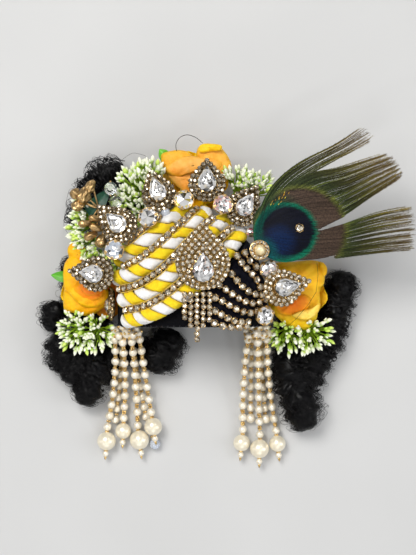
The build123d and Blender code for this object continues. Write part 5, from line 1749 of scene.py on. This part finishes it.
def feather_z(x):
    """Height of the feather's underside: the arc through three points."""
    (x1, z1), (x2, z2), (x3, z3) = FEATHER_UNDER
    d = 2 * (x1 * (z2 - z3) + x2 * (z3 - z1) + x3 * (z1 - z2))
    ux = ((x1**2 + z1**2) * (z2 - z3) + (x2**2 + z2**2) * (z3 - z1) + (x3**2 + z3**2) * (z1 - z2)) / d
    uz = ((x1**2 + z1**2) * (x3 - x2) + (x2**2 + z2**2) * (x1 - x3) + (x3**2 + z3**2) * (x2 - x1)) / d
    r = math.hypot(x1 - ux, z1 - uz)
    return uz + np.sqrt(np.maximum(r * r - (np.asarray(x, float) - ux) ** 2, 0.01))


def eye_colour(x, y):
    """Colour of the feather at a place in plan."""
    x, y = np.asarray(x, float), np.asarray(y, float)

    def inside(cx, cy, hx, hy, soft):
        d = np.hypot((x - cx) / hx, (y - cy) / hy)
        return np.clip((1 - d) / soft + 0.5, 0, 1)[:, None]

    def over(base, colour, share):
        return base * (1 - share) + np.array(colour) * share

    # dark green close to the eye, olive further out, brown at the tips
    far = np.hypot(x - 29.6, y - 28.0)
    out = np.array((0.016, 0.027, 0.010)) + 0 * far[:, None]
    out = over(out, (0.072, 0.060, 0.016), np.clip((far - 19.0) / 14.0, 0, 1)[:, None])
    out = over(out, (0.125, 0.085, 0.032), np.clip((far - 31.0) / 11.0, 0, 1)[:, None])
    out = over(out, (0.046, 0.058, 0.017), inside(30.4, 28.6, 21.5, 19.6, 0.26) * 0.6)
    out = over(out, (0.120, 0.135, 0.028), inside(30.0, 28.3, 18.5, 17.6, 0.03))
    out = over(out, (0.060, 0.038, 0.027), inside(29.6, 28.0, 17.5, 16.8, 0.04))
    out = over(out, (0.018, 0.045, 0.018), inside(19.0, 37.5, 8.0, 5.0, 0.8) * 0.8)
    out = over(out, (0.0, 0.125, 0.068), inside(23.9, 27.5, 12.6, 11.9, 0.03))
    out = over(out, (0.0, 0.052, 0.040), inside(22.9, 27.7, 10.9, 10.8, 0.08))
    out = over(out, (0.0006, 0.0014, 0.0080), inside(25.0, 28.0, 10.3, 9.6, 0.05))
    out = over(out, (0.0, 0.012, 0.060), inside(21.5, 24.0, 5.5, 5.4, 0.8) * 0.9)
    out = over(out, (0.0, 0.070, 0.080), inside(15.6, 19.2, 4.6, 5.4, 0.7))
    return out


def barb(soup, p, width, colours, normal=(0, 0, 1)):
    """A flat tapering ribbon along p, roofed a little at its middle."""
    p = np.asarray(p, float)
    t = unit(np.gradient(p, axis=0))
    side = unit(np.cross(t, np.broadcast_to(normal, t.shape)))
    w = np.asarray(width)[:, None]
    left, right = p - side * w, p + side * w
    mid = p + np.array([0, 0, 1.0]) * w * 0.5
    v = np.stack((left, mid, right), 1).reshape(-1, 3)
    if np.ndim(colours) == 1:
        colours = np.repeat(np.asarray(colours)[None], len(p), 0)
    soup.add(v, grid_faces(len(p), 3), 0, True, np.repeat(colours, 3, 0))


def guide(points, t):
    """Smooth line through a few places, at shares t of its length."""
    p = np.asarray(points, float)
    q = np.vstack((2 * p[0] - p[1], p, 2 * p[-1] - p[-2]))
    u = np.linspace(0, 1, 12)[:-1][:, None]
    out = []
    for k in range(len(p) - 1):
        p0, p1, p2, p3 = q[k : k + 4]
        out.append(0.5 * (2 * p1 + (p2 - p0) * u + (2 * p0 - 5 * p1 + 4 * p2 - p3) * u**2 + (3 * p1 - p0 - 3 * p2 + p3) * u**3))
    c = np.vstack(out + [p[-1:]])
    d = np.r_[0, np.cumsum(np.linalg.norm(np.diff(c, axis=0), axis=1))]
    return np.stack([np.interp(np.asarray(t) * d[-1], d, c[:, k]) for k in range(2)], -1)


s = Soup()
rng = np.random.default_rng(800)
# upper and lower edge of each group of barbs, its tips in between, and the number of barbs
GROUPS = [
    (
        [(12.6, 26.1), (14.0, 37.1), (19.7, 47.2), (29.6, 55.4), (43.4, 62.4), (53.8, 69.4)],
        [(16.2, 31.6), (22.5, 41.4), (30.7, 48.5), (43.0, 55.4), (52.4, 60.4), (59.4, 64.4)],
        46,
        0.0,
    ),
    (
        [(18.5, 38.7), (25.6, 46.2), (33.9, 50.9), (43.7, 52.9), (53.6, 56.0), (63.4, 59.2)],
        [(25.6, 26.4), (35.9, 28.4), (46.9, 33.9), (58.7, 41.8), (70.2, 49.7)],
        175,
        1.6,
    ),
    (
        [(25.6, 25.3), (36.7, 27.8), (47.7, 31.2), (60.5, 35.6), (73.6, 38.4)],
        [(23.3, 15.6), (35.5, 16.2), (47.7, 17.6), (61.7, 19.2), (74.4, 20.5)],
        132,
        1.4,
    ),
]
STEPS = 26
share = np.linspace(0, 1, STEPS)
for upper, lower, count, bulge in GROUPS:
    gu, gl = guide(upper, share), guide(lower, share)
    for k in range(count):
        f = (k + rng.uniform(-0.6, 0.6)) / (count - 1)
        f = min(max(f, 0.0), 1.0)
        # barbs gather into small locks towards their tips
        lock = 0.045 * math.sin(f * 43.0) + 0.02 * math.sin(f * 97.0)
        reach = rng.uniform(0.95, 1.01) if rng.random() > 0.15 else rng.uniform(0.80, 0.95)
        q = share * reach
        g = np.clip(f + lock * q**2 + rng.normal(0, 0.012) * q, 0, 1)[:, None]
        at = q * (STEPS - 1)
        low_k = np.minimum(at.astype(int), STEPS - 2)
        part = (at - low_k)[:, None]
        p = (gu[low_k] * (1 - part) + gu[low_k + 1] * part) * (1 - g) + (gl[low_k] * (1 - part) + gl[low_k + 1] * part) * g
        p = p + np.array([1.0, -0.15]) * bulge * math.sin(PI * f) * (q**2)[:, None]
        n_keep = STEPS
        wave = rng.uniform(0, 6.28)
        p[:, 1] += 0.18 * np.sin(q * 7 + wave) * q
        z = feather_z(p[:, 0]) + 0.35 + rng.uniform(0, 0.85) + 0.35 * np.sin(q * 4 + wave) * q + 0.7 * math.sin(PI * f) * np.sin(PI * q)
        # the close web shows the eye; barbs are drawn from its edge outward
        rim = ((p[:, 0] - 29.6) / 17.6) ** 2 + ((p[:, 1] - 28.0) / 16.8) ** 2
        rim_all = rim
        first = int(np.argmax(rim > 0.90)) if rim[-1] > 0.9 else 0
        if bulge and first:
            p, z, q = p[first:], z[first:], q[first:]
            n_keep = len(p)
        pts = np.column_stack((p, z))
        width = rng.uniform(0.12, 0.19) * (1 - 0.65 * (q / q[-1]) ** 2)
        tone = rng.uniform(0.45, 1.35)
        col = eye_colour(p[:, 0], p[:, 1]) * tone
        # some barbs turn lighter and limer outwards: part their own colour, part a painted sheen
        if rng.random() < 0.16:
            outer_tone_and_sheen = np.clip((rim_all[-len(col) :] - 0.95) / 0.3, 0, 1)[:, None]
            col = col * (1 + outer_tone_and_sheen * np.array((1.1, 1.1, 0.2))) + outer_tone_and_sheen * np.array((0.022, 0.028, 0.007))
        barb(s, pts, width, np.clip(col, 0, 1))
        # barbules give each barb its fuzz
        for j in range(1 if bulge else 9, n_keep - 1):
            for sign in (-1, 1):
                for _ in range(2):
                    d = unit(pts[j + 1] - pts[j - 1])
                    sd = np.array([-d[1], d[0], rng.uniform(-0.2, 0.3)]) * sign
                    at = pts[j] + (pts[j + 1] - pts[j]) * rng.random()
                    end = at + d * 0.75 + sd * rng.uniform(0.35, 0.6)
                    tri = np.array([at - d * 0.09, at + d * 0.09, end])
                    s.add(tri, np.array([[0, 1, 2]]) if sign > 0 else np.array([[0, 2, 1]]), 0, False, np.repeat(np.clip(col[j : j + 1], 0, 1), 3, 0))
# close web of the eye and the brown field round it
nr, na = 62, 150
cx, cy = 23.8, 27.6
ang = np.linspace(0, 2 * PI, na, endpoint=False)
rad = np.linspace(0.02, 1, nr)[:, None]


def field_reach(angle):
    """How far the close web runs from the eye's middle, by direction."""
    c, si = np.cos(angle), np.sin(angle)
    # the brown oval, cut off where the eye's own edge is further left
    ax_, ay_, ox, oy = 18.6, 17.6, 29.6 - cx, 28.2 - cy
    qa = (c / ax_) ** 2 + (si / ay_) ** 2
    qb = -2 * (ox * c / ax_**2 + oy * si / ay_**2)
    qc = (ox / ax_) ** 2 + (oy / ay_) ** 2 - 1
    brown = (-qb + np.sqrt(np.maximum(qb * qb - 4 * qa * qc, 0))) / (2 * qa)
    eye = 1 / np.sqrt((c / 12.7) ** 2 + (si / 11.9) ** 2)
    low = np.clip((-si - 0.1) / 0.35, 0, 1) * np.clip((0.97 - c) / 0.3, 0, 1)
    return np.maximum(eye, brown * (1 - low) + eye * low)


reach = field_reach(ang)
reach = np.minimum(reach, np.where(np.sin(ang) < 0, 12.0 / np.maximum(-np.sin(ang), 0.05), 99))
ex = cx + rad * reach * np.cos(ang)
ey = cy + rad * reach * np.sin(ang)
rel = np.hypot((ex - cx) / 12.7, (ey - cy) / 11.9)
ez = feather_z(ex) + 0.50 + 0.35 * np.clip(1 - rel**2, 0, 1) + 0.07 * np.sin(ang * 60) * rad
web = np.stack((ex, ey, ez), -1).reshape(-1, 3)


def in_gap(x, y):
    """The narrow opening between the middle and the lower barbs."""
    u = np.asarray(x) - 36.6
    return (u > 0) & (y < 28.4 + 0.50 * u) & (y > 27.9 + 0.30 * u)


# the web's edge follows the opening: places inside it move to its nearer side
u = web[:, 0] - 36.6
middle = 28.15 + 0.40 * u
half_open = np.where(u > 0, 0.25 * np.clip(u / 2.0, 0, 1) + 0.10 * u, 0.0)
side_of = np.where(web[:, 1] > middle, 1.0, -1.0)
inside_gap = (u > 0) & (np.abs(web[:, 1] - middle) < half_open)
web[:, 1] = np.where(inside_gap, middle + side_of * half_open, web[:, 1])
quads = grid_faces(nr, na, True)
all_in = inside_gap[quads].all(1)
crosses = (u[quads].min(1) > 0) & (side_of[quads].min(1) != side_of[quads].max(1))
quads = quads[~all_in & ~crosses]
s.add(web, quads[:, ::-1], 0, True, eye_colour(web[:, 0], web[:, 1]) * (0.82 + 0.18 * np.sin(np.tile(ang, nr) * 75 + rng.normal(0, 0.4, nr * na)))[:, None])
# fine barbs lying over the web, fanned from the quill
for k in range(640):
    f = rng.uniform(-1, 1)
    start = np.array([11.8 + 1.2 * rng.random(), 26.6 + 1.2 * f])
    angle = 0.02 + f * 1.5
    way = np.array([math.cos(angle * 0.72), math.sin(angle * 0.72)])
    end = np.array([cx, cy]) + way * field_reach(np.array([angle * 0.72]))[0] * rng.uniform(0.97, 1.03)
    if end[1] < 15.9:
        end[1] = 15.9
    bend = start + np.array([math.cos(angle * 1.25), math.sin(angle * 1.25)]) * np.linalg.norm(end - start) * 0.5
    t = np.linspace(0.02, 1.0, 25)[:, None]
    p = (1 - t) ** 2 * start + 2 * t * (1 - t) * bend + t * t * end
    keep = (p[:, 1] > 15.7) & (p[:, 1] < 45.4) & ~in_gap(p[:, 0], p[:, 1])
    keep = keep & (np.cumsum(~keep) == 0)
    if keep.sum() < 5:
        continue
    p = p[keep]
    r = np.hypot((p[:, 0] - cx) / 12.7, (p[:, 1] - cy) / 11.9)
    z = feather_z(p[:, 0]) + 0.62 + 0.35 * np.clip(1 - r**2, 0, 1) + rng.uniform(0.0, 0.22)
    tone = rng.uniform(0.60, 1.35)
    barb(s, np.column_stack((p, z)), np.full(len(p), 0.10), np.clip(eye_colour(p[:, 0], p[:, 1]) * tone, 0, 1))
for k in range(14):
    t = (k + 0.5) / 14
    at = np.array([18.6 + 6.4 * t, 38.0 + 5.4 * t]) + np.array([0.85, -0.53]) * rng.uniform(-1.3, 1.3)
    way = unit(np.array([0.58, 0.82]))
    long = rng.uniform(0.7, 1.5)
    f = np.linspace(-0.5, 0.5, 5)[:, None]
    p = at + way * f * long
    barb(s, np.column_stack((p, feather_z(p[:, 0]) + 1.30)), np.array([0.02, 0.06, 0.08, 0.06, 0.02]), np.array((0.75, 0.36, 0.02)) if k % 3 else np.array((0.80, 0.62, 0.04)))
# the quill under the eye
tube(s, [(9.5, 26.6, 37.0), (14.0, 27.0, 37.3), (24.0, 27.8, 38.0), (36.0, 29.6, 38.6)], [0.7, 0.6, 0.45, 0.2], 8, 0, (0.12, 0.10, 0.05))
make("peacock_feather", s, [FEATHER], ["feather"])
# the small gem on the eye
s = Soup()
ax = axes_from([[0.05, 0.02, 1.0]], (1, 0, 0))
gems(s, np.random.default_rng(811), [[29.4, 29.2, float(feather_z(29.4)) + 1.75]], ax, 1.55)
make("eye_gem", s, [GOLD, PAVE])


# ---------------------------------------------------------------- curly hair
LOBES = {
    "hair_left": [
        (-70.8, -6.4, 6.0, 5.1, 6.6, 80),
        (-66.0, -21.4, 6.5, 7.8, 9.4, 100),
        (-55.6, -14.0, 3.4, 8.0, 12.6, 83),
        (-54.8, -31.8, 7.2, 6.8, 12.2, 74),
        (-42.0, -22.6, 0.6, 5.4, 13.4, 8),
        (-25.3, -20.7, 5.4, 8.0, 10.2, 62),
        (-60.2, 7.0, 3.2, 7.6, 13.0, 92),
        (-60.6, -27.2, 6.0, 6.4, 8.6, 50),
        (-48.6, -26.4, 4.0, 5.6, 9.0, 60),
    ],
    "hair_right": [
        (47.0, 1.4, 6.6, 7.0, 11.6, 75),
        (39.6, -20.0, 4.6, 7.8, 10.8, 61),
        (30.1, -37.6, 6.8, 8.2, 16.8, 106),
        (31.0, -6.0, 3.2, 8.6, 15.6, 70),
        (25.6, -25.0, 4.2, 5.2, 9.6, 90),
        (35.4, -29.6, 5.6, 7.0, 9.4, 70),
        (44.4, -11.0, 5.6, 6.4, 8.4, 60),
    ],
    "hair_top": [
        (-49.5, 52.6, 5.4, 6.4, 8.6, 20),
        (-56.5, 40.5, 4.6, 6.6, 11.4, 71),
        (-43.0, 43.4, 4.2, 7.0, 12.0, 23),
        (-29.0, 45.0, 3.2, 6.4, 12.0, 3),
    ],
}


def capsule_radius(s, r, half):
    """Radius of a sausage curl at s along it."""
    flat = max(half - r, half * 0.25)
    cap = half - flat
    over = np.clip((np.abs(s) - flat) / cap, 0, 1)
    return r * np.sqrt(np.clip(1 - over**2, 0.0, 1))


def ribbons(soup, paths, outward, width, tint):
    """Many ribbons at once: paths and outward (N, steps, 3)."""
    n, steps = paths.shape[:2]
    t = unit(np.gradient(paths, axis=1))
    side = unit(np.cross(t, outward))
    taper = np.minimum(1, np.minimum(np.arange(steps) + 0.4, steps - 0.6 - np.arange(steps)) / 3)
    w = width[:, None, None] * taper[None, :, None]
    v = np.stack((paths - side * w, paths + side * w), 2).reshape(-1, 3)
    one = grid_faces(steps, 2)
    faces = (one[None] + (np.arange(n) * steps * 2)[:, None, None]).reshape(-1, 4)
    soup.add(v, faces, 0, True, np.repeat(tint, steps * 2, 0))


def curls(name, count, rng, extra=None):
    s = Soup()
    rows = LOBES[name]
    areas = np.array([r * half for x, y, z, r, half, turn in rows])
    for (x, y, z, r, half, turn), part in zip(rows, areas / areas.sum()):
        a = math.radians(turn)
        axis = np.array([math.cos(a), math.sin(a), 0.0])
        side = np.array([-math.sin(a), math.cos(a), 0.0])
        up = np.array([0.0, 0.0, 1.0])
        origin = np.array([x, y, z])
        # dark core under the strands
        n, m = 26, 22
        ss = np.concatenate(([-half * 0.97], np.linspace(-half * 0.96, half * 0.96, n - 2), [half * 0.97]))[:, None]
        th = np.linspace(0, 2 * PI, m, endpoint=False)[None, :]
        rad = 0.86 * capsule_radius(ss, r, half) * (1 + 0.07 * np.sin(ss * 1.9 + x) + 0.05 * np.cos(3 * th + y) + 0.04 * np.sin(5 * th + ss))
        rad = rad * (1 + 0.08 * np.sin(1.1 * ss + x) + 0.08 * np.sin(2 * th + y + 0.6 * ss)) * (0.72 if name == "hair_top" else 0.95)
        rad[0], rad[-1] = 0.02, 0.02
        core = origin + ss[..., None] * axis + rad[..., None] * (np.cos(th)[..., None] * side + np.sin(th)[..., None] * up)
        core[..., 2] = np.maximum(core[..., 2], 0.1)
        s.add(core, grid_faces(n, m, True), 0, True, (0.002, 0.002, 0.0025))
        num = int(count * part)
        steps = 23
        q = np.linspace(0, 1, steps)[None, :]

        def pick(lo, hi):
            return rng.uniform(lo, hi, (num, 1))

        # the lock each strand belongs to leans its own way
        locks = max(7, int(half * 1.6))
        lock = rng.integers(locks, size=(num, 1))
        lock_s = rng.uniform(-half * 0.95, half * 0.95, locks)[lock]
        lock_way = rng.uniform(-1.5, 1.5, locks)[lock]
        lock_phi = rng.uniform(-0.4, PI + 0.4, locks)[lock]
        lock_ph = rng.uniform(0, 6.28, locks)[lock]
        lock_pitch = rng.uniform(2.6, 4.4, locks)[lock]
        lock_bend = rng.normal(0, 0.05, locks)[lock]
        phi0 = lock_phi + rng.normal(0, 0.33, (num, 1))
        s0 = lock_s + rng.normal(0, 1.3, (num, 1))
        reach = pick(8.0, 15.0)
        way = lock_way + rng.normal(0, 0.16, (num, 1))
        travel = (q - 0.5) * reach
        around = travel * np.cos(way) / r
        along = travel * np.sin(way) + lock_bend * travel**2
        # crimps that the strands of a lock share
        coil = pick(0.22, 0.55)
        turns = reach / lock_pitch
        ph = lock_ph + rng.normal(0, 0.45, (num, 1))
        wob_s = coil * np.sin(2 * PI * turns * q + ph)
        wob_r = coil * 0.7 * np.cos(2 * PI * turns * q + ph)
        phi = phi0 + around
        sx = s0 + along + wob_s
        level = np.where(rng.random((num, 1)) < 0.22, pick(0.98, 1.13), pick(0.82, 1.0))
        lump = 1 + 0.10 * np.sin(sx * 1.1 + x) + 0.10 * np.sin(2 * phi + y + sx * 0.6) + 0.05 * np.sin(4 * phi - sx * 0.9)
        over = np.abs(sx) > half * 0.97
        sx = np.clip(sx, -half * 0.97, half * 0.97)
        rr = np.maximum(capsule_radius(sx, r, half), 0.12 * r) * level * lump + wob_r
        rr = np.where(over, rr * 0.8, rr)
        out = np.cos(phi)[..., None] * side + np.sin(phi)[..., None] * up
        p = origin + sx[..., None] * axis + rr[..., None] * out
        keep = (p[..., 2] < 0.3).mean(1) < 0.35
        p = p[keep]
        p[..., 2] = np.maximum(p[..., 2], 0.12)
        shade = rng.uniform(0.35, 1.4, (keep.sum(), 1))
        shade = np.where(rng.random(shade.shape) < 0.08, shade * 3.0, shade)
        ribbons(s, p, out[keep], rng.uniform(0.07, 0.12, keep.sum()), np.array((0.0026, 0.0023, 0.0026)) * shade)
        # loose fringe: short curled hairs that stand off the lump
        num = int(36 + 6 * half)
        steps = 14
        f = np.linspace(0, 1, steps)[None, :]
        phi = rng.uniform(-0.1, PI + 0.1, (num, 1)) + (f - 0.5) * rng.uniform(0.5, 1.8, (num, 1)) * rng.choice([-1, 1], (num, 1))
        sx = rng.uniform(-half * 0.95, half * 0.95, (num, 1)) + (f - 0.5) * rng.uniform(-6, 6, (num, 1)) + 0.35 * np.sin(f * rng.uniform(6, 16, (num, 1)))
        sx = np.clip(sx, -half * 1.02, half * 1.02)
        rr = np.maximum(capsule_radius(np.clip(sx, -half * 0.97, half * 0.97), r, half), 0.3 * r) * 0.97 + np.sin(PI * f) * rng.uniform(0.3, 2.7, (num, 1))
        out = np.cos(phi)[..., None] * side + np.sin(phi)[..., None] * up
        p = origin + sx[..., None] * axis + rr[..., None] * out
        p[..., 2] = np.maximum(p[..., 2], 0.2)
        ribbons(s, p, np.broadcast_to(up, p.shape), np.full(num, 0.055), np.array((0.005, 0.0045, 0.0045)) * np.ones((num, 1)))
        # twisted locks: strands that wind together
        for k in range(int(2 + half * 0.55)):
            strands, steps = 11, 34
            phi0, s0 = rng.uniform(-0.2, PI + 0.2), rng.uniform(-half * 0.8, half * 0.8)
            far, lean = rng.uniform(9, 17), rng.uniform(-1.2, 1.2)
            f = np.linspace(0, 1, steps)[None, :]
            travel = (f - 0.5) * far
            coil = rng.uniform(0.8, 1.5) * np.sin(PI * np.clip(f, 0.05, 0.95)) ** 0.4
            turn_by = 2 * PI * f * far / rng.uniform(3.6, 5.4) + rng.uniform(0, 6.28)
            off = np.linspace(0, 1, strands)[:, None] * 2.0 + rng.normal(0, 0.12, (strands, 1))
            size = coil * rng.uniform(0.78, 1.06, (strands, 1))
            sx = s0 + travel * math.sin(lean) + size * np.sin(turn_by + off)
            phi = phi0 + travel * math.cos(lean) / r + 0 * off
            sx = np.clip(sx, -half * 0.98, half * 0.98)
            rr = np.maximum(capsule_radius(sx, r, half), 0.3 * r) * 0.93 + size * 0.8 * np.cos(turn_by + off)
            out = np.cos(phi)[..., None] * side + np.sin(phi)[..., None] * up
            p = origin + sx[..., None] * axis + rr[..., None] * out
            if (p[..., 2] < 0.3).mean() > 0.3:
                continue
            p[..., 2] = np.maximum(p[..., 2], 0.15)
            glow = rng.uniform(0.7, 2.2, (strands, 1))
            ribbons(s, p, out, np.full(strands, 0.11), np.array((0.0040, 0.0036, 0.0038)) * glow)
    if name == "hair_top":
        for k in range(44):
            x, y, z, r, half, turn = rows[int(rng.integers(len(rows)))]
            a = math.radians(turn)
            axis = np.array([math.cos(a), math.sin(a), 0.0])
            side = np.array([-math.sin(a), math.cos(a), 0.0])
            phi = rng.uniform(-0.2, PI + 0.2)
            centre = np.array([x, y, z]) + axis * rng.uniform(-half, half) * 0.8 + (side * math.cos(phi) + np.array([0, 0, 1.0]) * math.sin(phi)) * r * 0.82
            loop_r = rng.uniform(1.4, 3.0)
            f = np.linspace(0, 1, 32)
            ang = 2 * PI * f * rng.uniform(1.2, 2.4) + rng.uniform(0, 6.28)
            frame_ = axes_from(unit(rng.normal(size=3) * [0.7, 0.7, 0.4] + [0, 0, 0.8]), (1, 0.2, 0.1))[0]
            p = centre + (frame_[:, :1] * (loop_r * np.cos(ang)) + frame_[:, 1:2] * (loop_r * 0.8 * np.sin(ang)) + frame_[:, 2:] * (f - 0.5) * rng.uniform(0.5, 2.5)).T
            p = p + axis * (f[:, None] - 0.5) * rng.uniform(-5, 5)
            p[:, 2] = np.maximum(p[:, 2], 0.3)
            tube(s, p, 0.16, 4, 0, (0.0035, 0.0032, 0.0035), False)
    for pts, radius in extra or ():
        pts = np.array(pts, float)
        q = np.linspace(0, 1, len(pts))
        f = np.linspace(0, 1, 40)
        smooth = np.stack([np.interp(f, q, pts[:, k]) for k in range(3)], -1)
        for _ in range(12):
            smooth[1:-1] = (smooth[:-2] + smooth[1:-1] * 2 + smooth[2:]) / 4
        tube(s, smooth, radius, 4, 0, (0.03, 0.022, 0.015), False)
    make("curls_" + name, s, [HAIR], [name])


SHARE = 1.0
curls("hair_left", int(1450 * SHARE), np.random.default_rng(901))
curls("hair_right", int(1300 * SHARE), np.random.default_rng(902))
curls(
    "hair_top",
    int(700 * SHARE),
    np.random.default_rng(903),
    [
        ([(-19.4, 60.8, 23), (-19.9, 63.6, 24), (-18.2, 66.4, 24), (-15.2, 67.6, 24), (-11.5, 66.4, 24), (-8.7, 63.8, 24)], 0.12),
        ([(-60.0, 42.0, 10), (-65.5, 38.0, 9), (-66.5, 31.0, 8), (-63.5, 26.0, 8)], 0.06),
        ([(-60.0, 46.0, 10), (-64.0, 46.5, 9), (-65.5, 40.0, 8), (-62.0, 34.0, 8)], 0.06),
        ([(-44.0, 57.0, 8), (-38.0, 61.5, 8), (-32.0, 60.0, 8), (-30.0, 55.0, 9)], 0.06),
    ],
)

# ---------------------------------------------------------------- floor and light
floor_mesh = bpy.data.meshes.new("floor")
R = 1.5
floor_mesh.from_pydata([(-R, -R, 0), (R, -R, 0), (R, R, 0), (-R, R, 0)], [], [(0, 1, 2, 3)])
floor = bpy.data.objects.new("floor", floor_mesh)
bpy.context.scene.collection.objects.link(floor)
m = Mat("pale_floor", rough=0.8, spec=0.2)
m.to("color", m.ramp(m.noise(m.coords((0.01, 0.01, 0.01)), 1.0, 2.0), [(0.3, (0.55, 0.55, 0.545)), (0.7, (0.58, 0.58, 0.575))]))
floor_mesh.materials.append(m.mat)
floor.location.z = -0.0002


def area(name, at, size, power, colour=(1, 1, 1)):
    data = bpy.data.lights.new(name, "AREA")
    data.shape = "RECTANGLE"
    data.size, data.size_y = size
    data.energy = power
    data.color = colour
    obj = bpy.data.objects.new(name, data)
    obj.location = at
    obj.rotation_euler = (Vector((0, 0, 0.02)) - Vector(at)).to_track_quat("-Z", "Y").to_euler()
    bpy.context.scene.collection.objects.link(obj)


area("key", (-0.30, 0.40, 0.90), (0.42, 0.42), 7.6, (1.0, 0.985, 0.96))
area("fill", (0.78, -0.12, 0.62), (0.35, 0.70), 2.6, (0.97, 0.98, 1.0))
area("front", (0.0, -0.85, 0.55), (0.80, 0.22), 1.5)
area("strip_left", (-0.90, -0.15, 0.45), (0.22, 0.80), 0.9)
area("strip_back", (0.30, 0.90, 0.45), (0.80, 0.20), 0.9)
for index, (x, y, z) in enumerate(
    [(0.14, 0.24, 0.97), (-0.22, -0.20, 0.95), (0.36, -0.36, 0.85), (0.48, 0.46, 0.70), (-0.55, -0.48, 0.68), (-0.62, 0.18, 0.74), (0.05, -0.52, 0.86)]
):
    area(f"small_{index}", (x, y, z), (0.06, 0.06), 0.42)

world = bpy.data.worlds.new("room")
world.use_nodes = True
bg = world.node_tree.nodes["Background"]
sky = world.node_tree.nodes.new("ShaderNodeTexCoord")
turn = world.node_tree.nodes.new("ShaderNodeMapping")
turn.inputs["Rotation"].default_value = (0.0, 0.0, 0.9)
turn.inputs["Location"].default_value = (0.5, 0.0, 0.0)
turn.inputs["Scale"].default_value = (0.5, 0.5, 0.5)
fade = world.node_tree.nodes.new("ShaderNodeTexGradient")
tone = world.node_tree.nodes.new("ShaderNodeValToRGB")
tone.color_ramp.elements[0].position = 0.2
tone.color_ramp.elements[0].color = (0.14, 0.15, 0.17, 1.0)
tone.color_ramp.elements[1].position = 0.8
tone.color_ramp.elements[1].color = (0.62, 0.63, 0.65, 1.0)
for a_out, b_in in (
    (sky.outputs["Generated"], turn.inputs["Vector"]),
    (turn.outputs["Vector"], fade.inputs["Vector"]),
    (fade.outputs["Color"], tone.inputs["Fac"]),
    (tone.outputs["Color"], bg.inputs["Color"]),
):
    world.node_tree.links.new(a_out, b_in)
bg.inputs["Strength"].default_value = 0.48
bpy.context.scene.world = world
bpy.context.scene.view_settings.view_transform = "Standard"

print("triangles", sum(made.values()), {k: v for k, v in sorted(made.items(), key=lambda kv: -kv[1])[:12]})
